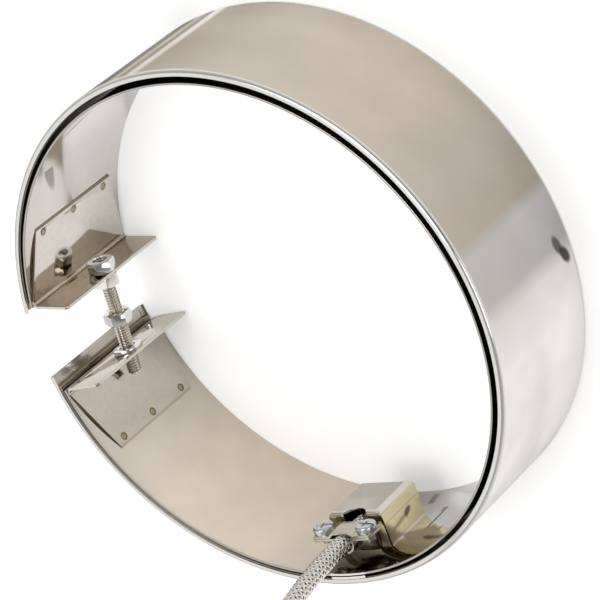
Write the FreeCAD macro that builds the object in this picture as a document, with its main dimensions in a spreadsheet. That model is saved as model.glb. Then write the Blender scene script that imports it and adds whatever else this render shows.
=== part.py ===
import FreeCAD, Part
import math
import os
import Sketcher
from FreeCAD import Placement, Rotation, Vector

# Internal band heater: an open ring that expands inside a round die or barrel end.
# The ring stands on one rim. Z is the ring's axis, and the origin is the ring's centre at the lower rim.
# Lengths are in millimetres and angles in degrees.

doc = FreeCAD.newDocument("InternalBandHeater")
sheet = doc.addObject("Spreadsheet::Sheet", "dim")

SIZES = [
    ("outer_r", 120.65, "heating face radius, a 9 1/2 in ring"),
    ("width", 69.85, "ring width along its axis, 2 3/4 in"),
    ("gap_az", 44.5, "azimuth of the middle of the expansion gap"),
    ("sheath_end_a", 8.4, "angle from the gap's middle to the sheath's end beside lug A"),
    ("sheath_end_b", 6.9, "the same beside lug B, where the sheath stands out as a tray"),
    ("core_end", 9.5, "angle from the gap's middle to each end of the cover and the core"),
    ("sheath_t", 0.5, "outer sheath sheet"),
    ("hem_bend", 1.7, "outside bend radius of the sheath's folded rims"),
    ("hem_w", 2.8, "width of the folded rim, bend included"),
    ("shell_depth", 3.25, "radial depth from the heating face to the cover's inner face"),
    ("cover_t", 0.5, "inner cover sheet"),
    ("cover_bend", 0.9, "outside bend radius of the cover's rims"),
    ("mica_t", 0.5, "each insulating mica band"),
    ("winding_mica_t", 0.6, "mica band that carries the ribbon"),
    ("ribbon_t", 0.22, "resistance ribbon"),
    ("ribbon_slot", 1.6, "space between two runs of the ribbon"),
    ("ribbon_runs", 48, "runs of the ribbon across the band"),
    ("core_play", 0.05, "play between two layers of the core"),
    ("mica_edge", 1.2, "margin from the rims to the core"),
    ("ribbon_edge", 5.0, "margin from the rims to the ribbon"),
    ("strap_gap", 0.9, "mean gap between cover and expansion strap"),
    ("strap_t", 1.0, "expansion strap sheet"),
    ("strap_shift", 0.5, "how far the strap's circle lies off the sheath's"),
    ("strap_shift_az", 110.0, "azimuth towards which the strap lies"),
    ("strap_end", 10.2, "angle from the gap's middle to each end of the strap"),
    ("tab_az", 137.0, "azimuth of the strap's retaining tabs"),
    ("tab_span", 9.0, "angle that a retaining tab spans"),
    ("tab_t", 0.45, "thickness of a retaining tab"),
    ("tab_reach", 0.8, "how far a retaining tab stands out over the cover's rim"),
    ("seat_play", 0.05, "play between a curved seat and what lies on it"),
    ("lug_az", 9.9, "angle from the gap's middle to the lug's bend"),
    ("lug_t", 1.3, "lug sheet"),
    ("lug_base", 36.6, "length of the lug's flat base"),
    ("lug_flange", 20.5, "height of the lug's flange"),
    ("lug_inset", 0.62, "how far a lug's sides stay inside the ring's rims"),
    ("lug_end_w", 54.0, "width of the base at its far end"),
    ("lug_angle", 75.7, "angle between base and flange"),
    ("lug_bend", 1.4, "inside bend radius of the lug"),
    ("lug_corner", 1.6, "corner radius of the flange"),
    ("weld_d", 2.6, "diameter of a spot weld's mark"),
    ("weld_deep", 0.25, "depth of a spot weld's mark"),
    ("weld_inset", 3.6, "distance of the weld marks from the sheet's end"),
    ("weld_pitch", 22.4, "distance between the lug's weld marks"),
    ("stud_d", 6.35, "expansion stud, 1/4 in"),
    ("stud_len", 55.0, "length of the stud"),
    ("stud_in", 14.98, "distance of the stud from lug A's bend, along the flange"),
    ("stud_recess", 0.8, "how deep the stud's end lies in the outer lock nut"),
    ("stud_hole_d", 7.6, "stud's hole in the lugs"),
    ("stud_chamfer", 0.7, "chamfer at the stud's ends"),
    ("nut_af", 11.11, "across flats, 7/16 in"),
    ("nut_h", 5.56, "nut height, 7/32 in"),
    ("nut_cone", 0.75, "height of the chamfer on the nut's corners"),
    ("thread_play", 0.05, "radial clearance of nut and stud"),
    ("washer_d", 13.6, "washer"),
    ("washer_t", 1.6, "washer"),
    ("washer_hole_d", 7.3, "washer"),
    ("jack_at", 22.0, "distance of the jack nut's middle from the lug A flange's middle"),
    ("box_az", 135.6, "azimuth of the terminal box"),
    ("box_h", 18.55, "height of the box's top above the strap"),
    ("box_w", 28.2, "box width round the ring"),
    ("box_l", 28.0, "box length along the ring's axis"),
    ("box_t", 0.8, "box sheet"),
    ("box_bend", 1.9, "outside bend radius of the box"),
    ("box_lift", 0.6, "gap between the box's end walls and the strap"),
    ("foot_l", 12.3, "length of the box's feet"),
    ("foot_corner", 2.2, "chamfer on a foot's corners"),
    ("foot_pitch", 8.2, "distance between the weld marks on a foot"),
    ("notch_r", 6.3, "radius of the lead's notch in the box"),
    ("notch_deep", 4.6, "how far the notch cuts into the box's top"),
    ("lead_d", 8.5, "braided lead"),
    ("lead_h", 11.35, "height of the lead's axis above the strap"),
    ("lead_play", 0.05, "clearance of the lead in its clamp"),
    ("lead_inside", 5.0, "length of braid inside the box's end wall"),
    ("clamp_out", 8.4, "distance of the clamp's middle from the box's end wall"),
    ("clamp_w", 10.0, "width of the clamp's bars"),
    ("clamp_l", 32.0, "length of the clamp's bars"),
    ("clamp_pitch", 22.9, "distance between the clamp's screws"),
    ("saddle_t", 1.1, "saddle sheet"),
    ("saddle_drop", 2.5, "height of the saddle's ears above the lead's axis"),
    ("saddle_flat", 8.8, "width of the saddle's flat top"),
    ("saddle_slope", 2.2, "width of the saddle's slope down to an ear"),
    ("bracket_t", 1.2, "clamp bracket sheet"),
    ("bracket_neck", 17.0, "width of the bracket's neck and tab"),
    ("screw_head_d", 9.4, "number 10 pan head"),
    ("screw_head_h", 3.2, "number 10 pan head"),
    ("screw_d", 4.8, "number 10 screw"),
    ("screw_slot", 1.2, "width and depth of the screw's slot"),
    ("screw_hole_play", 0.15, "clearance of the screw in the saddle"),
    ("screw_tail", 2.4, "length of screw beyond the bracket"),
    ("post_pitch", 13.0, "distance between the terminal posts"),
    ("post_d", 4.0, "terminal post"),
    ("post_down", 5.0, "distance of the posts below the ring's middle plane"),
    ("post_head_d", 7.5, "head of a terminal post, on the cover"),
    ("post_head_h", 0.6, "head of a terminal post, on the cover"),
    ("post_l", 12.75, "length of a terminal post"),
    ("bush_d", 9.2, "ceramic bushing round a post"),
    ("bush_h", 4.6, "ceramic bushing round a post"),
    ("post_nut_af", 7.0, "nut on a terminal post"),
    ("post_nut_h", 3.2, "nut on a terminal post"),
    ("eyelet_d", 8.8, "eyelet under the post nut"),
    ("eyelet_t", 0.8, "eyelet under the post nut"),
    ("window_w", 27.0, "width of the strap's window under the box"),
    ("window_l", 15.0, "length of the strap's window"),
    ("wire_d", 2.4, "insulated wire inside the box"),
    ("ferrule_d", 9.6, "crimped ferrule at the lead's end"),
    ("ferrule_l", 14.0, "crimped ferrule at the lead's end"),
    ("tail_l", 34.0, "length of the insulated tails"),
    ("tip_l", 8.0, "bare tinned tips of the tails"),
    ("tip_d", 1.5, "bare tinned tips of the tails"),
]
for row, (alias, number, meaning) in enumerate(SIZES, start=1):
    sheet.set(f"A{row}", meaning)
    sheet.set(f"B{row}", str(number))
    sheet.setAlias(f"B{row}", alias)
doc.recompute()

nodes = []


def value(expression):
    """What an expression of the sheet comes to, as a plain number."""
    return float(sheet.evalExpression(expression))


def node(piece, label):
    """Notes a finished sub-part, whose label names its file."""
    piece.Label = label
    nodes.append(piece)
    return piece


def new_body(label):
    return node(doc.addObject("PartDesign::Body", label), label)


def new_sketch(body, role, lift=None):
    """An empty sketch on an origin plane of the body, raised along its normal by an expression."""
    drawing = body.newObject("Sketcher::SketchObject", "sketch")
    plane = next(f for f in body.Origin.OriginFeatures if f.Role == role)
    drawing.AttachmentSupport = [(plane, "")]
    drawing.MapMode = "FlatFace"
    if lift:
        drawing.setExpression("AttachmentOffset.Base.z", lift)
    return drawing


def add_outline(drawing, corners):
    """Draws a closed outline whose corners are pairs of expressions."""
    first = drawing.GeometryCount
    points = [Vector(value(x), value(y), 0) for x, y in corners]
    count = len(points)
    for i in range(count):
        drawing.addGeometry(Part.LineSegment(points[i], points[(i + 1) % count]), False)
    for i in range(count):
        line, following = first + i, first + (i + 1) % count
        drawing.addConstraint(Sketcher.Constraint("Coincident", line, 2, following, 1))
    for i, corner in enumerate(corners):
        for kind, expression in zip(("DistanceX", "DistanceY"), corner):
            rule = Sketcher.Constraint(kind, -1, 1, first + i, 1, value(expression))
            drawing.setExpression(f"Constraints[{drawing.addConstraint(rule)}]", expression)
    return drawing


def add_circle(drawing, x, y, diameter):
    """Draws a circle whose centre and diameter are expressions."""
    centre = Vector(value(x), value(y), 0)
    circle = Part.Circle(centre, Vector(0, 0, 1), value(diameter) / 2)
    ring = drawing.addGeometry(circle, False)
    for kind, expression in (("DistanceX", x), ("DistanceY", y)):
        rule = Sketcher.Constraint(kind, -1, 1, ring, 3, value(expression))
        drawing.setExpression(f"Constraints[{drawing.addConstraint(rule)}]", expression)
    rule = drawing.addConstraint(Sketcher.Constraint("Diameter", ring, value(diameter)))
    drawing.setExpression(f"Constraints[{rule}]", diameter)
    return drawing


def pad(body, drawing, length, middle=False):
    """Pads a sketch along its normal, or to both sides of its plane."""
    feature = body.newObject("PartDesign::Pad", "pad")
    feature.Profile = drawing
    feature.setExpression("Length", length)
    feature.Midplane = middle
    return feature


def pocket(body, drawing, length, middle=False, flip=False):
    """Cuts a sketch into the body, against the sketch's normal unless flipped."""
    feature = body.newObject("PartDesign::Pocket", "pocket")
    feature.Profile = drawing
    feature.setExpression("Length", length)
    feature.Midplane = middle
    feature.Reversed = flip
    return feature


def turn(body, drawing, angle, cut=False):
    """Revolves a sketch about its vertical axis."""
    feature = body.newObject("PartDesign::" + ("Groove" if cut else "Revolution"), "turn")
    feature.Profile = drawing
    feature.ReferenceAxis = (drawing, ["V_Axis"])
    feature.setExpression("Angle", angle)
    return feature


def dress(body, kind, base, edges, sizing, expression):
    """A fillet or chamfer on the edges of a feature that a test picks out."""
    doc.recompute()
    names = [f"Edge{i}" for i, edge in enumerate(base.Shape.Edges, 1) if edges(edge)]
    feature = body.newObject("PartDesign::" + kind, kind.lower())
    feature.Base = (base, names)
    feature.setExpression(sizing, expression)
    return feature


def bend(body, base, edges, radius):
    return dress(body, "Fillet", base, edges, "Radius", radius)


def bevel(body, base, edges, size):
    return dress(body, "Chamfer", base, edges, "Size", size)


def rect(x0, y0, x1, y1):
    """The corners of a rectangle, as expressions."""
    return [(x0, y0), (x1, y0), (x1, y1), (x0, y1)]


def is_round(edge, radius, heights):
    """Whether an edge is an arc about the ring's axis with that radius at one of those heights."""
    if not isinstance(edge.Curve, Part.Circle):
        return False
    level = edge.Vertexes[0].Z
    return abs(edge.Curve.Radius - radius) < 0.01 and any(abs(level - h) < 0.01 for h in heights)


def stands_at(edge, x, y):
    """Whether an edge is upright and passes through that point of the plan."""
    a, b = edge.Vertexes[0].Point, edge.Vertexes[-1].Point
    upright = abs(a.x - b.x) < 0.01 and abs(a.y - b.y) < 0.01 and abs(a.z - b.z) > 0.01
    return upright and math.hypot(a.x - x, a.y - y) < 0.05


def put(piece, azimuth, on_strap=False):
    """Turns a sub-part to its azimuth; what the strap carries moves with the strap's circle."""
    piece.Placement = Placement(Vector(), Rotation(Vector(0, 0, 1), value(azimuth)))
    piece.setExpression("Placement.Rotation.Angle", azimuth)
    if on_strap:
        piece.setExpression("Placement.Base.x", "dim.strap_shift * cos(dim.strap_shift_az)")
        piece.setExpression("Placement.Base.y", "dim.strap_shift * sin(dim.strap_shift_az)")
    return piece


# Shell of the ring. Each layer is revolved from its end beside lug B round to its end beside lug A.

COVER_R = "(dim.outer_r - dim.shell_depth)"
STRAP_R = f"({COVER_R} - dim.strap_gap - dim.strap_t)"
SEAT_R = f"({STRAP_R} - dim.seat_play)"
MIDDLE = "dim.width / 2"


def ring_layer(label, outline, end_a, end_b, on_strap=False):
    """A layer of the ring: its section turned from end B to end A."""
    body = new_body(label)
    drawing = add_outline(new_sketch(body, "XZ_Plane"), outline)
    turn(body, drawing, f"360 - {end_a} - {end_b}")
    put(body, f"dim.gap_az + {end_b}", on_strap)
    return body


# Outer sheath: one polished sheet whose rims are folded in over the cover.
sheath = ring_layer(
    "outer_sheath",
    [
        ("dim.outer_r", "0"),
        ("dim.outer_r", "dim.width"),
        ("dim.outer_r - dim.hem_w", "dim.width"),
        ("dim.outer_r - dim.hem_w", "dim.width - dim.sheath_t"),
        ("dim.outer_r - dim.sheath_t", "dim.width - dim.sheath_t"),
        ("dim.outer_r - dim.sheath_t", "dim.sheath_t"),
        ("dim.outer_r - dim.hem_w", "dim.sheath_t"),
        ("dim.outer_r - dim.hem_w", "0"),
    ],
    "dim.sheath_end_a",
    "dim.sheath_end_b",
)
outside = bend(
    sheath,
    sheath.Tip,
    lambda e: is_round(e, value("dim.outer_r"), (0, value("dim.width"))),
    "dim.hem_bend",
)
bend(
    sheath,
    outside,
    lambda e: is_round(
        e,
        value("dim.outer_r - dim.sheath_t"),
        (value("dim.sheath_t"), value("dim.width - dim.sheath_t")),
    ),
    "dim.hem_bend - dim.sheath_t",
)

# Inner cover: a channel whose rims lie under the sheath's folded rims.
cover = ring_layer(
    "inner_cover",
    [
        (COVER_R, "dim.sheath_t"),
        ("dim.outer_r - dim.hem_bend - dim.core_play", "dim.sheath_t"),
        ("dim.outer_r - dim.hem_bend - dim.core_play", "dim.sheath_t + dim.cover_t"),
        (f"{COVER_R} + dim.cover_t", "dim.sheath_t + dim.cover_t"),
        (f"{COVER_R} + dim.cover_t", "dim.width - dim.sheath_t - dim.cover_t"),
        (
            "dim.outer_r - dim.hem_bend - dim.core_play",
            "dim.width - dim.sheath_t - dim.cover_t",
        ),
        ("dim.outer_r - dim.hem_bend - dim.core_play", "dim.width - dim.sheath_t"),
        (COVER_R, "dim.width - dim.sheath_t"),
    ],
    "dim.core_end",
    "dim.core_end",
)
outside = bend(
    cover,
    cover.Tip,
    lambda e: is_round(
        e, value(COVER_R), (value("dim.sheath_t"), value("dim.width - dim.sheath_t"))
    ),
    "dim.cover_bend",
)
bend(
    cover,
    outside,
    lambda e: is_round(
        e,
        value(f"{COVER_R} + dim.cover_t"),
        (
            value("dim.sheath_t + dim.cover_t"),
            value("dim.width - dim.sheath_t - dim.cover_t"),
        ),
    ),
    "dim.cover_bend - dim.cover_t",
)

# Core, from the sheath inwards: mica, resistance ribbon on its own mica, and mica again.
MICA_LOW, MICA_HIGH = "dim.sheath_t + dim.mica_edge", "dim.width - dim.sheath_t - dim.mica_edge"
OUTER_MICA_R = "(dim.outer_r - dim.sheath_t - dim.core_play)"
RIBBON_R = f"({OUTER_MICA_R} - dim.mica_t - dim.core_play)"
WINDING_R = f"({RIBBON_R} - dim.ribbon_t)"
INNER_MICA_R = f"({WINDING_R} - dim.winding_mica_t - dim.core_play)"


def core_layer(label, radius, thickness, low, high):
    """A plain band of the core, hanging inwards from its outer radius."""
    outline = rect(f"{radius} - {thickness}", low, radius, high)
    return ring_layer(label, outline, "dim.core_end", "dim.core_end")


core_layer("outer_mica", OUTER_MICA_R, "dim.mica_t", MICA_LOW, MICA_HIGH)
core_layer("winding_mica", WINDING_R, "dim.winding_mica_t", MICA_LOW, MICA_HIGH)
core_layer("inner_mica", INNER_MICA_R, "dim.mica_t", MICA_LOW, MICA_HIGH)

# Resistance ribbon: a strip that runs to and fro across the band, so slots enter it from each rim in turn.
ribbon = new_body("resistance_ribbon")
RIBBON_LOW, RIBBON_HIGH = "dim.ribbon_edge", "dim.width - dim.ribbon_edge"
turn(
    ribbon,
    add_outline(
        new_sketch(ribbon, "XZ_Plane"), rect(WINDING_R, RIBBON_LOW, RIBBON_R, RIBBON_HIGH)
    ),
    "360 - 2 * dim.core_end - 4",
)
put(ribbon, "dim.gap_az + dim.core_end + 2")
RIBBON_STEP = "(360 - 2 * dim.core_end - 4) / dim.ribbon_runs"
RIBBON_BAND = "(dim.width / dim.ribbon_runs + dim.ribbon_slot)"


def ribbon_slots(first, low, high, copies):
    """Every second slot of the ribbon, all open at the same rim."""
    drawing = new_sketch(ribbon, "XZ_Plane")
    half = "dim.ribbon_slot / 2"
    radius_in, radius_out = f"{WINDING_R} - 1", f"{RIBBON_R} + 1"
    add_outline(drawing, rect(radius_in, low, radius_out, high))
    drawing.AttachmentOffset = Placement(Vector(), Rotation(Vector(0, 1, 0), value(first)))
    drawing.setExpression("AttachmentOffset.Rotation.Angle", first)
    slot = pocket(ribbon, drawing, f"2 * {half}", middle=True)
    slots = ribbon.newObject("PartDesign::PolarPattern", "slots")
    slots.Originals = [slot]
    slots.Axis = (next(f for f in ribbon.Origin.OriginFeatures if f.Role == "Z_Axis"), [""])
    slots.setExpression("Angle", f"{RIBBON_STEP} * 2 * {copies - 1}")
    slots.Occurrences = copies
    ribbon.Tip = slots


RUNS = int(value("dim.ribbon_runs"))
ribbon_slots(RIBBON_STEP, f"{RIBBON_LOW} - 1", f"{RIBBON_HIGH} - {RIBBON_BAND}", RUNS // 2)
ribbon_slots(
    f"{RIBBON_STEP} * 2", f"{RIBBON_LOW} + {RIBBON_BAND}", f"{RIBBON_HIGH} + 1", (RUNS - 1) // 2
)

# Expansion strap: the springy band inside the shell, with a window under the terminal box.
strap = ring_layer(
    "expansion_strap",
    rect(STRAP_R, "0", f"{STRAP_R} + dim.strap_t", "dim.width"),
    "dim.strap_end",
    "dim.strap_end",
    on_strap=True,
)
# Two retaining tabs behind the terminal box, one at each rim, keep the strap level in the shell.
TAB_TURN = "dim.tab_az - dim.gap_az - dim.strap_end - dim.tab_span / 2"
for low, high in (("0", "dim.tab_t"), ("dim.width - dim.tab_t", "dim.width")):
    tab = new_sketch(strap, "XZ_Plane")
    tab_out = f"{STRAP_R} + dim.strap_t + dim.tab_reach"
    add_outline(tab, rect(f"{STRAP_R} + dim.strap_t / 2", low, tab_out, high))
    tab.AttachmentOffset = Placement(Vector(), Rotation(Vector(0, 1, 0), value(TAB_TURN)))
    tab.setExpression("AttachmentOffset.Rotation.Angle", TAB_TURN)
    turn(strap, tab, "dim.tab_span")
# The window over the terminal posts.
window = new_sketch(strap, "YZ_Plane")
half_window = "dim.window_w / 2"
POST_Z = f"({MIDDLE} - dim.post_down)"
add_outline(
    window,
    rect(
        f"-{half_window}",
        f"{POST_Z} - dim.window_l / 2",
        half_window,
        f"{POST_Z} + dim.window_l / 2",
    ),
)
WINDOW_TURN = "dim.box_az - dim.gap_az - dim.strap_end"
window.AttachmentOffset = Placement(Vector(), Rotation(Vector(0, 1, 0), value(WINDOW_TURN)))
window.setExpression("AttachmentOffset.Rotation.Angle", WINDOW_TURN)
pocket(strap, window, "dim.outer_r", flip=True)


# Lugs. Each is one sheet bent to an acute angle. In its own frame the base lies along X from the bend,
# its back on the strap, and the flange rises from the bend. Lug A is the mirror image of lug B.

LUG_W = "(dim.width - 2 * dim.lug_inset)"
LUG_FAR_AZ = f"(dim.lug_az + 2 * asin(dim.lug_base / 2 / {SEAT_R}) / 1 deg)"
LUG_TILT = f"(90 + (dim.lug_az + {LUG_FAR_AZ}) / 2)"
# Each flange leans towards the gap's middle by LEAN. The stud is square to lug A's flange,
# so it crosses lug B's flange aslant and nearer to the strap.
LEAN = f"({LUG_TILT} + dim.lug_angle - 180)"
STUD_IN_B = (
    f"((dim.stud_in - 2 * {SEAT_R} * sin(dim.lug_az) * sin({LEAN})) / cos(2 * {LEAN}))"
)
HOLE_IN = {-1: "dim.stud_in", 1: f"({STUD_IN_B} - dim.lug_t / 2 * tan(2 * {LEAN}))"}


def lug(label, side):
    """A lug: side is 1 for lug B and -1 for lug A. Its base's back points away from the ring's axis."""
    body = new_body(label)
    s = f"({side})"
    corner = "dim.lug_t / tan(dim.lug_angle / 2)"
    tip = ("dim.lug_flange * cos(dim.lug_angle)", "dim.lug_flange * sin(dim.lug_angle)")
    outline = [
        ("0", "0"),
        ("dim.lug_base", "0"),
        ("dim.lug_base", f"{s} * dim.lug_t"),
        (corner, f"{s} * dim.lug_t"),
        (
            f"{tip[0]} + dim.lug_t * sin(dim.lug_angle)",
            f"{s} * ({tip[1]} - dim.lug_t * cos(dim.lug_angle))",
        ),
        (tip[0], f"{s} * ({tip[1]})"),
    ]
    drawing = add_outline(new_sketch(body, "XY_Plane", MIDDLE), outline)
    sheet_metal = pad(body, drawing, LUG_W, middle=True)
    inside = bend(
        body,
        sheet_metal,
        lambda e: stands_at(e, value(corner), side * value("dim.lug_t")),
        "dim.lug_bend",
    )
    outside = bend(
        body, inside, lambda e: stands_at(e, 0, 0), "dim.lug_bend + dim.lug_t"
    )
    # The base narrows towards its far end.
    taper = new_sketch(body, "XZ_Plane")
    start = "dim.lug_t + dim.lug_bend + 1"
    for up in ("1", "-1"):
        edge = f"{MIDDLE} + {up} * {LUG_W} / 2"
        add_outline(
            taper,
            [
                (start, edge),
                ("dim.lug_base + 1", f"{MIDDLE} + {up} * dim.lug_end_w / 2"),
                ("dim.lug_base + 1", f"{edge} + {up}"),
                (start, f"{edge} + {up}"),
            ],
        )
    pocket(body, taper, "dim.lug_t * 4", middle=True)
    # Three spot welds hold the base's far end to the strap.
    welds = new_sketch(body, "XZ_Plane", f"-{s} * dim.lug_t")
    for step in ("-1", "0", "1"):
        add_circle(
            welds,
            "dim.lug_base - dim.weld_inset",
            f"{MIDDLE} + {step} * dim.weld_pitch",
            "dim.weld_d",
        )
    marks = pocket(body, welds, "dim.weld_deep * 2", middle=True)
    # The stud's hole is square to the flange.
    hole = new_sketch(body, "YZ_Plane")
    lean = "90 - dim.lug_angle"
    hole.AttachmentOffset = Placement(Vector(), Rotation(Vector(0, -side, 0), value(lean)))
    hole.setExpression("AttachmentOffset.Rotation.Angle", lean)
    add_circle(hole, f"{s} * {HOLE_IN[side]}", MIDDLE, "dim.stud_hole_d")
    bored = pocket(body, hole, "dim.lug_t * 6", middle=True)
    # The flange's free corners are rounded.
    height = value(f"{tip[1]} - dim.lug_t")
    bend(
        body,
        bored,
        lambda e: e.Length < value("dim.lug_t") * 1.2
        and all(side * v.Y > height for v in e.Vertexes)
        and abs(e.Vertexes[0].Z - e.Vertexes[-1].Z) < 0.01,
        "dim.lug_corner",
    )
    seat = value(SEAT_R)
    gap_az, lug_az = value("dim.gap_az"), value("dim.lug_az")
    azimuth = math.radians(gap_az + side * lug_az)
    shift = math.radians(value("dim.strap_shift_az"))
    base = Vector(seat * math.cos(azimuth), seat * math.sin(azimuth), 0)
    base += Vector(math.cos(shift), math.sin(shift), 0) * value("dim.strap_shift")
    tilt = gap_az + side * value(LUG_TILT)
    body.Placement = Placement(base, Rotation(Vector(0, 0, 1), tilt))
    return body


lug_a = lug("lug_a", -1)
lug_b = lug("lug_b", 1)


# Expansion stud and its nuts, square to lug A's flange. The stud's frame has Z along the stud, from
# lug A towards lug B, with its zero in the middle of lug A's flange.

def along_stud():
    """The stud's frame as a placement, with its X axis level and pointing at the ring's axis."""
    lean = math.radians(value("dim.lug_angle"))
    middle = Vector(
        value("dim.stud_in") * math.cos(lean) + value("dim.lug_t") / 2 * math.sin(lean),
        -value("dim.stud_in") * math.sin(lean) + value("dim.lug_t") / 2 * math.cos(lean),
        value(MIDDLE),
    )
    start = lug_a.Placement.multVec(middle)
    inwards = lug_a.Placement.Rotation.multVec(Vector(math.cos(lean), -math.sin(lean), 0))
    across = lug_a.Placement.Rotation.multVec(Vector(-math.sin(lean), -math.cos(lean), 0))
    return Placement(start, Rotation(inwards, Vector(), across, "ZXY"))


STUD = along_stud()
STUD_HEAD = "-(dim.lug_t / 2 + dim.nut_h - dim.stud_recess)"


def on_stud(piece, distance, twist=0):
    """Places a turned piece on the stud, its own zero at that distance, turned by twist."""
    slide = Placement(Vector(0, 0, distance), Rotation(Vector(0, 0, 1), twist))
    piece.Placement = STUD.multiply(slide)
    return piece


def hex_nut(label, across_flats, height, bore, cone):
    """A hexagon nut standing on its lower face, with both ends chamfered; a flat faces its X axis."""
    body = new_body(label)
    corner = f"{across_flats} / 2 / cos(30)"
    drawing = new_sketch(body, "XY_Plane")
    add_outline(
        drawing,
        [(f"{corner} * cos({30 + 60 * k})", f"{corner} * sin({30 + 60 * k})") for k in range(6)],
    )
    add_circle(drawing, "0", "0", bore)
    pad(body, drawing, height)
    rims = new_sketch(body, "XZ_Plane")
    flat, beyond = f"{across_flats} / 2 * 0.98", f"{corner} + 1"
    slope = f"{cone} * ({beyond} - {flat}) / ({corner} - {flat})"
    for face, into in (("0", "+"), (height, "-")):
        away = "-" if into == "+" else "+"
        add_outline(
            rims,
            [
                (flat, face),
                (beyond, f"{face} {into} {slope}"),
                (beyond, f"{face} {away} 1"),
                (flat, f"{face} {away} 1"),
            ],
        )
    turn(body, rims, "360", cut=True)
    return body


expansion_stud = new_body("expansion_stud")
drawing = add_circle(new_sketch(expansion_stud, "XY_Plane"), "0", "0", "dim.stud_d")
rod = pad(expansion_stud, drawing, "dim.stud_len")
bevel(
    expansion_stud, rod, lambda e: isinstance(e.Curve, Part.Circle), "dim.stud_chamfer"
)
on_stud(expansion_stud, value(STUD_HEAD))

NUT_BORE = "dim.stud_d + 2 * dim.thread_play"
flange_half = value("dim.lug_t") / 2
nut_h = value("dim.nut_h")
# Twists turn a flat towards the viewer as in use; the three nuts are free to stand at any angle.
for label, distance, twist in (
    ("lock_nut_outer", -flange_half - nut_h, 45),
    ("lock_nut_inner", flange_half, 20),
    ("jack_nut", value("dim.jack_at") - nut_h / 2, 50),
):
    nut = hex_nut(label, "dim.nut_af", "dim.nut_h", NUT_BORE, "dim.nut_cone")
    on_stud(nut, distance, twist)

# Washer on lug B's flange, square to that flange.
washer = new_body("jack_washer")
drawing = add_circle(new_sketch(washer, "XY_Plane"), "0", "0", "dim.washer_d")
add_circle(drawing, "0", "0", "dim.washer_hole_d")
face = pad(washer, drawing, "dim.washer_t")
lean = math.radians(value("dim.lug_angle"))
washer_in = value(f"{STUD_IN_B} + dim.washer_t / 2 * tan(2 * {LEAN})")
flange_b = Vector(washer_in * math.cos(lean), washer_in * math.sin(lean), 0)
outwards = lug_b.Placement.Rotation.multVec(Vector(-math.sin(lean), math.cos(lean), 0))
seat_b = lug_b.Placement.multVec(flange_b + Vector(0, 0, value(MIDDLE)))
washer.Placement = Placement(seat_b, Rotation(Vector(0, 0, 1), outwards))


# Terminal box. Its frame has X outwards through the box, Y round the ring and Z up.

BOX_SIDE = "dim.box_w / 2"
BOX_TOP = f"({SEAT_R} - dim.box_h)"
LEAD_AT = f"({SEAT_R} - dim.lead_h)"
BOX_LOW = f"{MIDDLE} - dim.box_l / 2"
BOX_HIGH = f"{MIDDLE} + dim.box_l / 2"

box = new_body("terminal_box")
drawing = new_sketch(box, "XY_Plane", MIDDLE)
add_outline(drawing, rect(BOX_TOP, f"-{BOX_SIDE}", "dim.outer_r", BOX_SIDE))
block = pad(box, drawing, "dim.box_l", middle=True)
top_r, side, low, high = (
    value(BOX_TOP),
    value(BOX_SIDE),
    value(BOX_LOW),
    value(BOX_HIGH),
)


def box_top_edge(edge):
    """The four edges round the box's top."""
    return all(abs(v.X - top_r) < 0.01 for v in edge.Vertexes)


rounded = bend(box, block, box_top_edge, "dim.box_bend")
hollow = new_sketch(box, "YZ_Plane", "dim.outer_r")
add_outline(
    hollow,
    rect(
        f"-{BOX_SIDE} + dim.box_t",
        f"{BOX_LOW} + dim.box_t",
        f"{BOX_SIDE} - dim.box_t",
        f"{BOX_HIGH} - dim.box_t",
    ),
)
pocket(box, hollow, f"dim.outer_r - {BOX_TOP} - dim.box_t")
# The open side follows the strap and stays clear of it; only the feet touch it.
trim = new_sketch(box, "XY_Plane", MIDDLE)
add_circle(trim, "0", "0", f"({SEAT_R} - dim.box_lift) * 2")
add_circle(trim, "0", "0", "dim.outer_r * 3")
pocket(box, trim, "dim.width", middle=True)
# Two curved feet are bent out along the strap.
FOOT_NEAR = f"(asin(({BOX_SIDE} - dim.box_t) / {SEAT_R}) / 1 deg)"
FOOT_FAR = f"({FOOT_NEAR} + dim.foot_l / {SEAT_R} * 180 / pi)"


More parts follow.
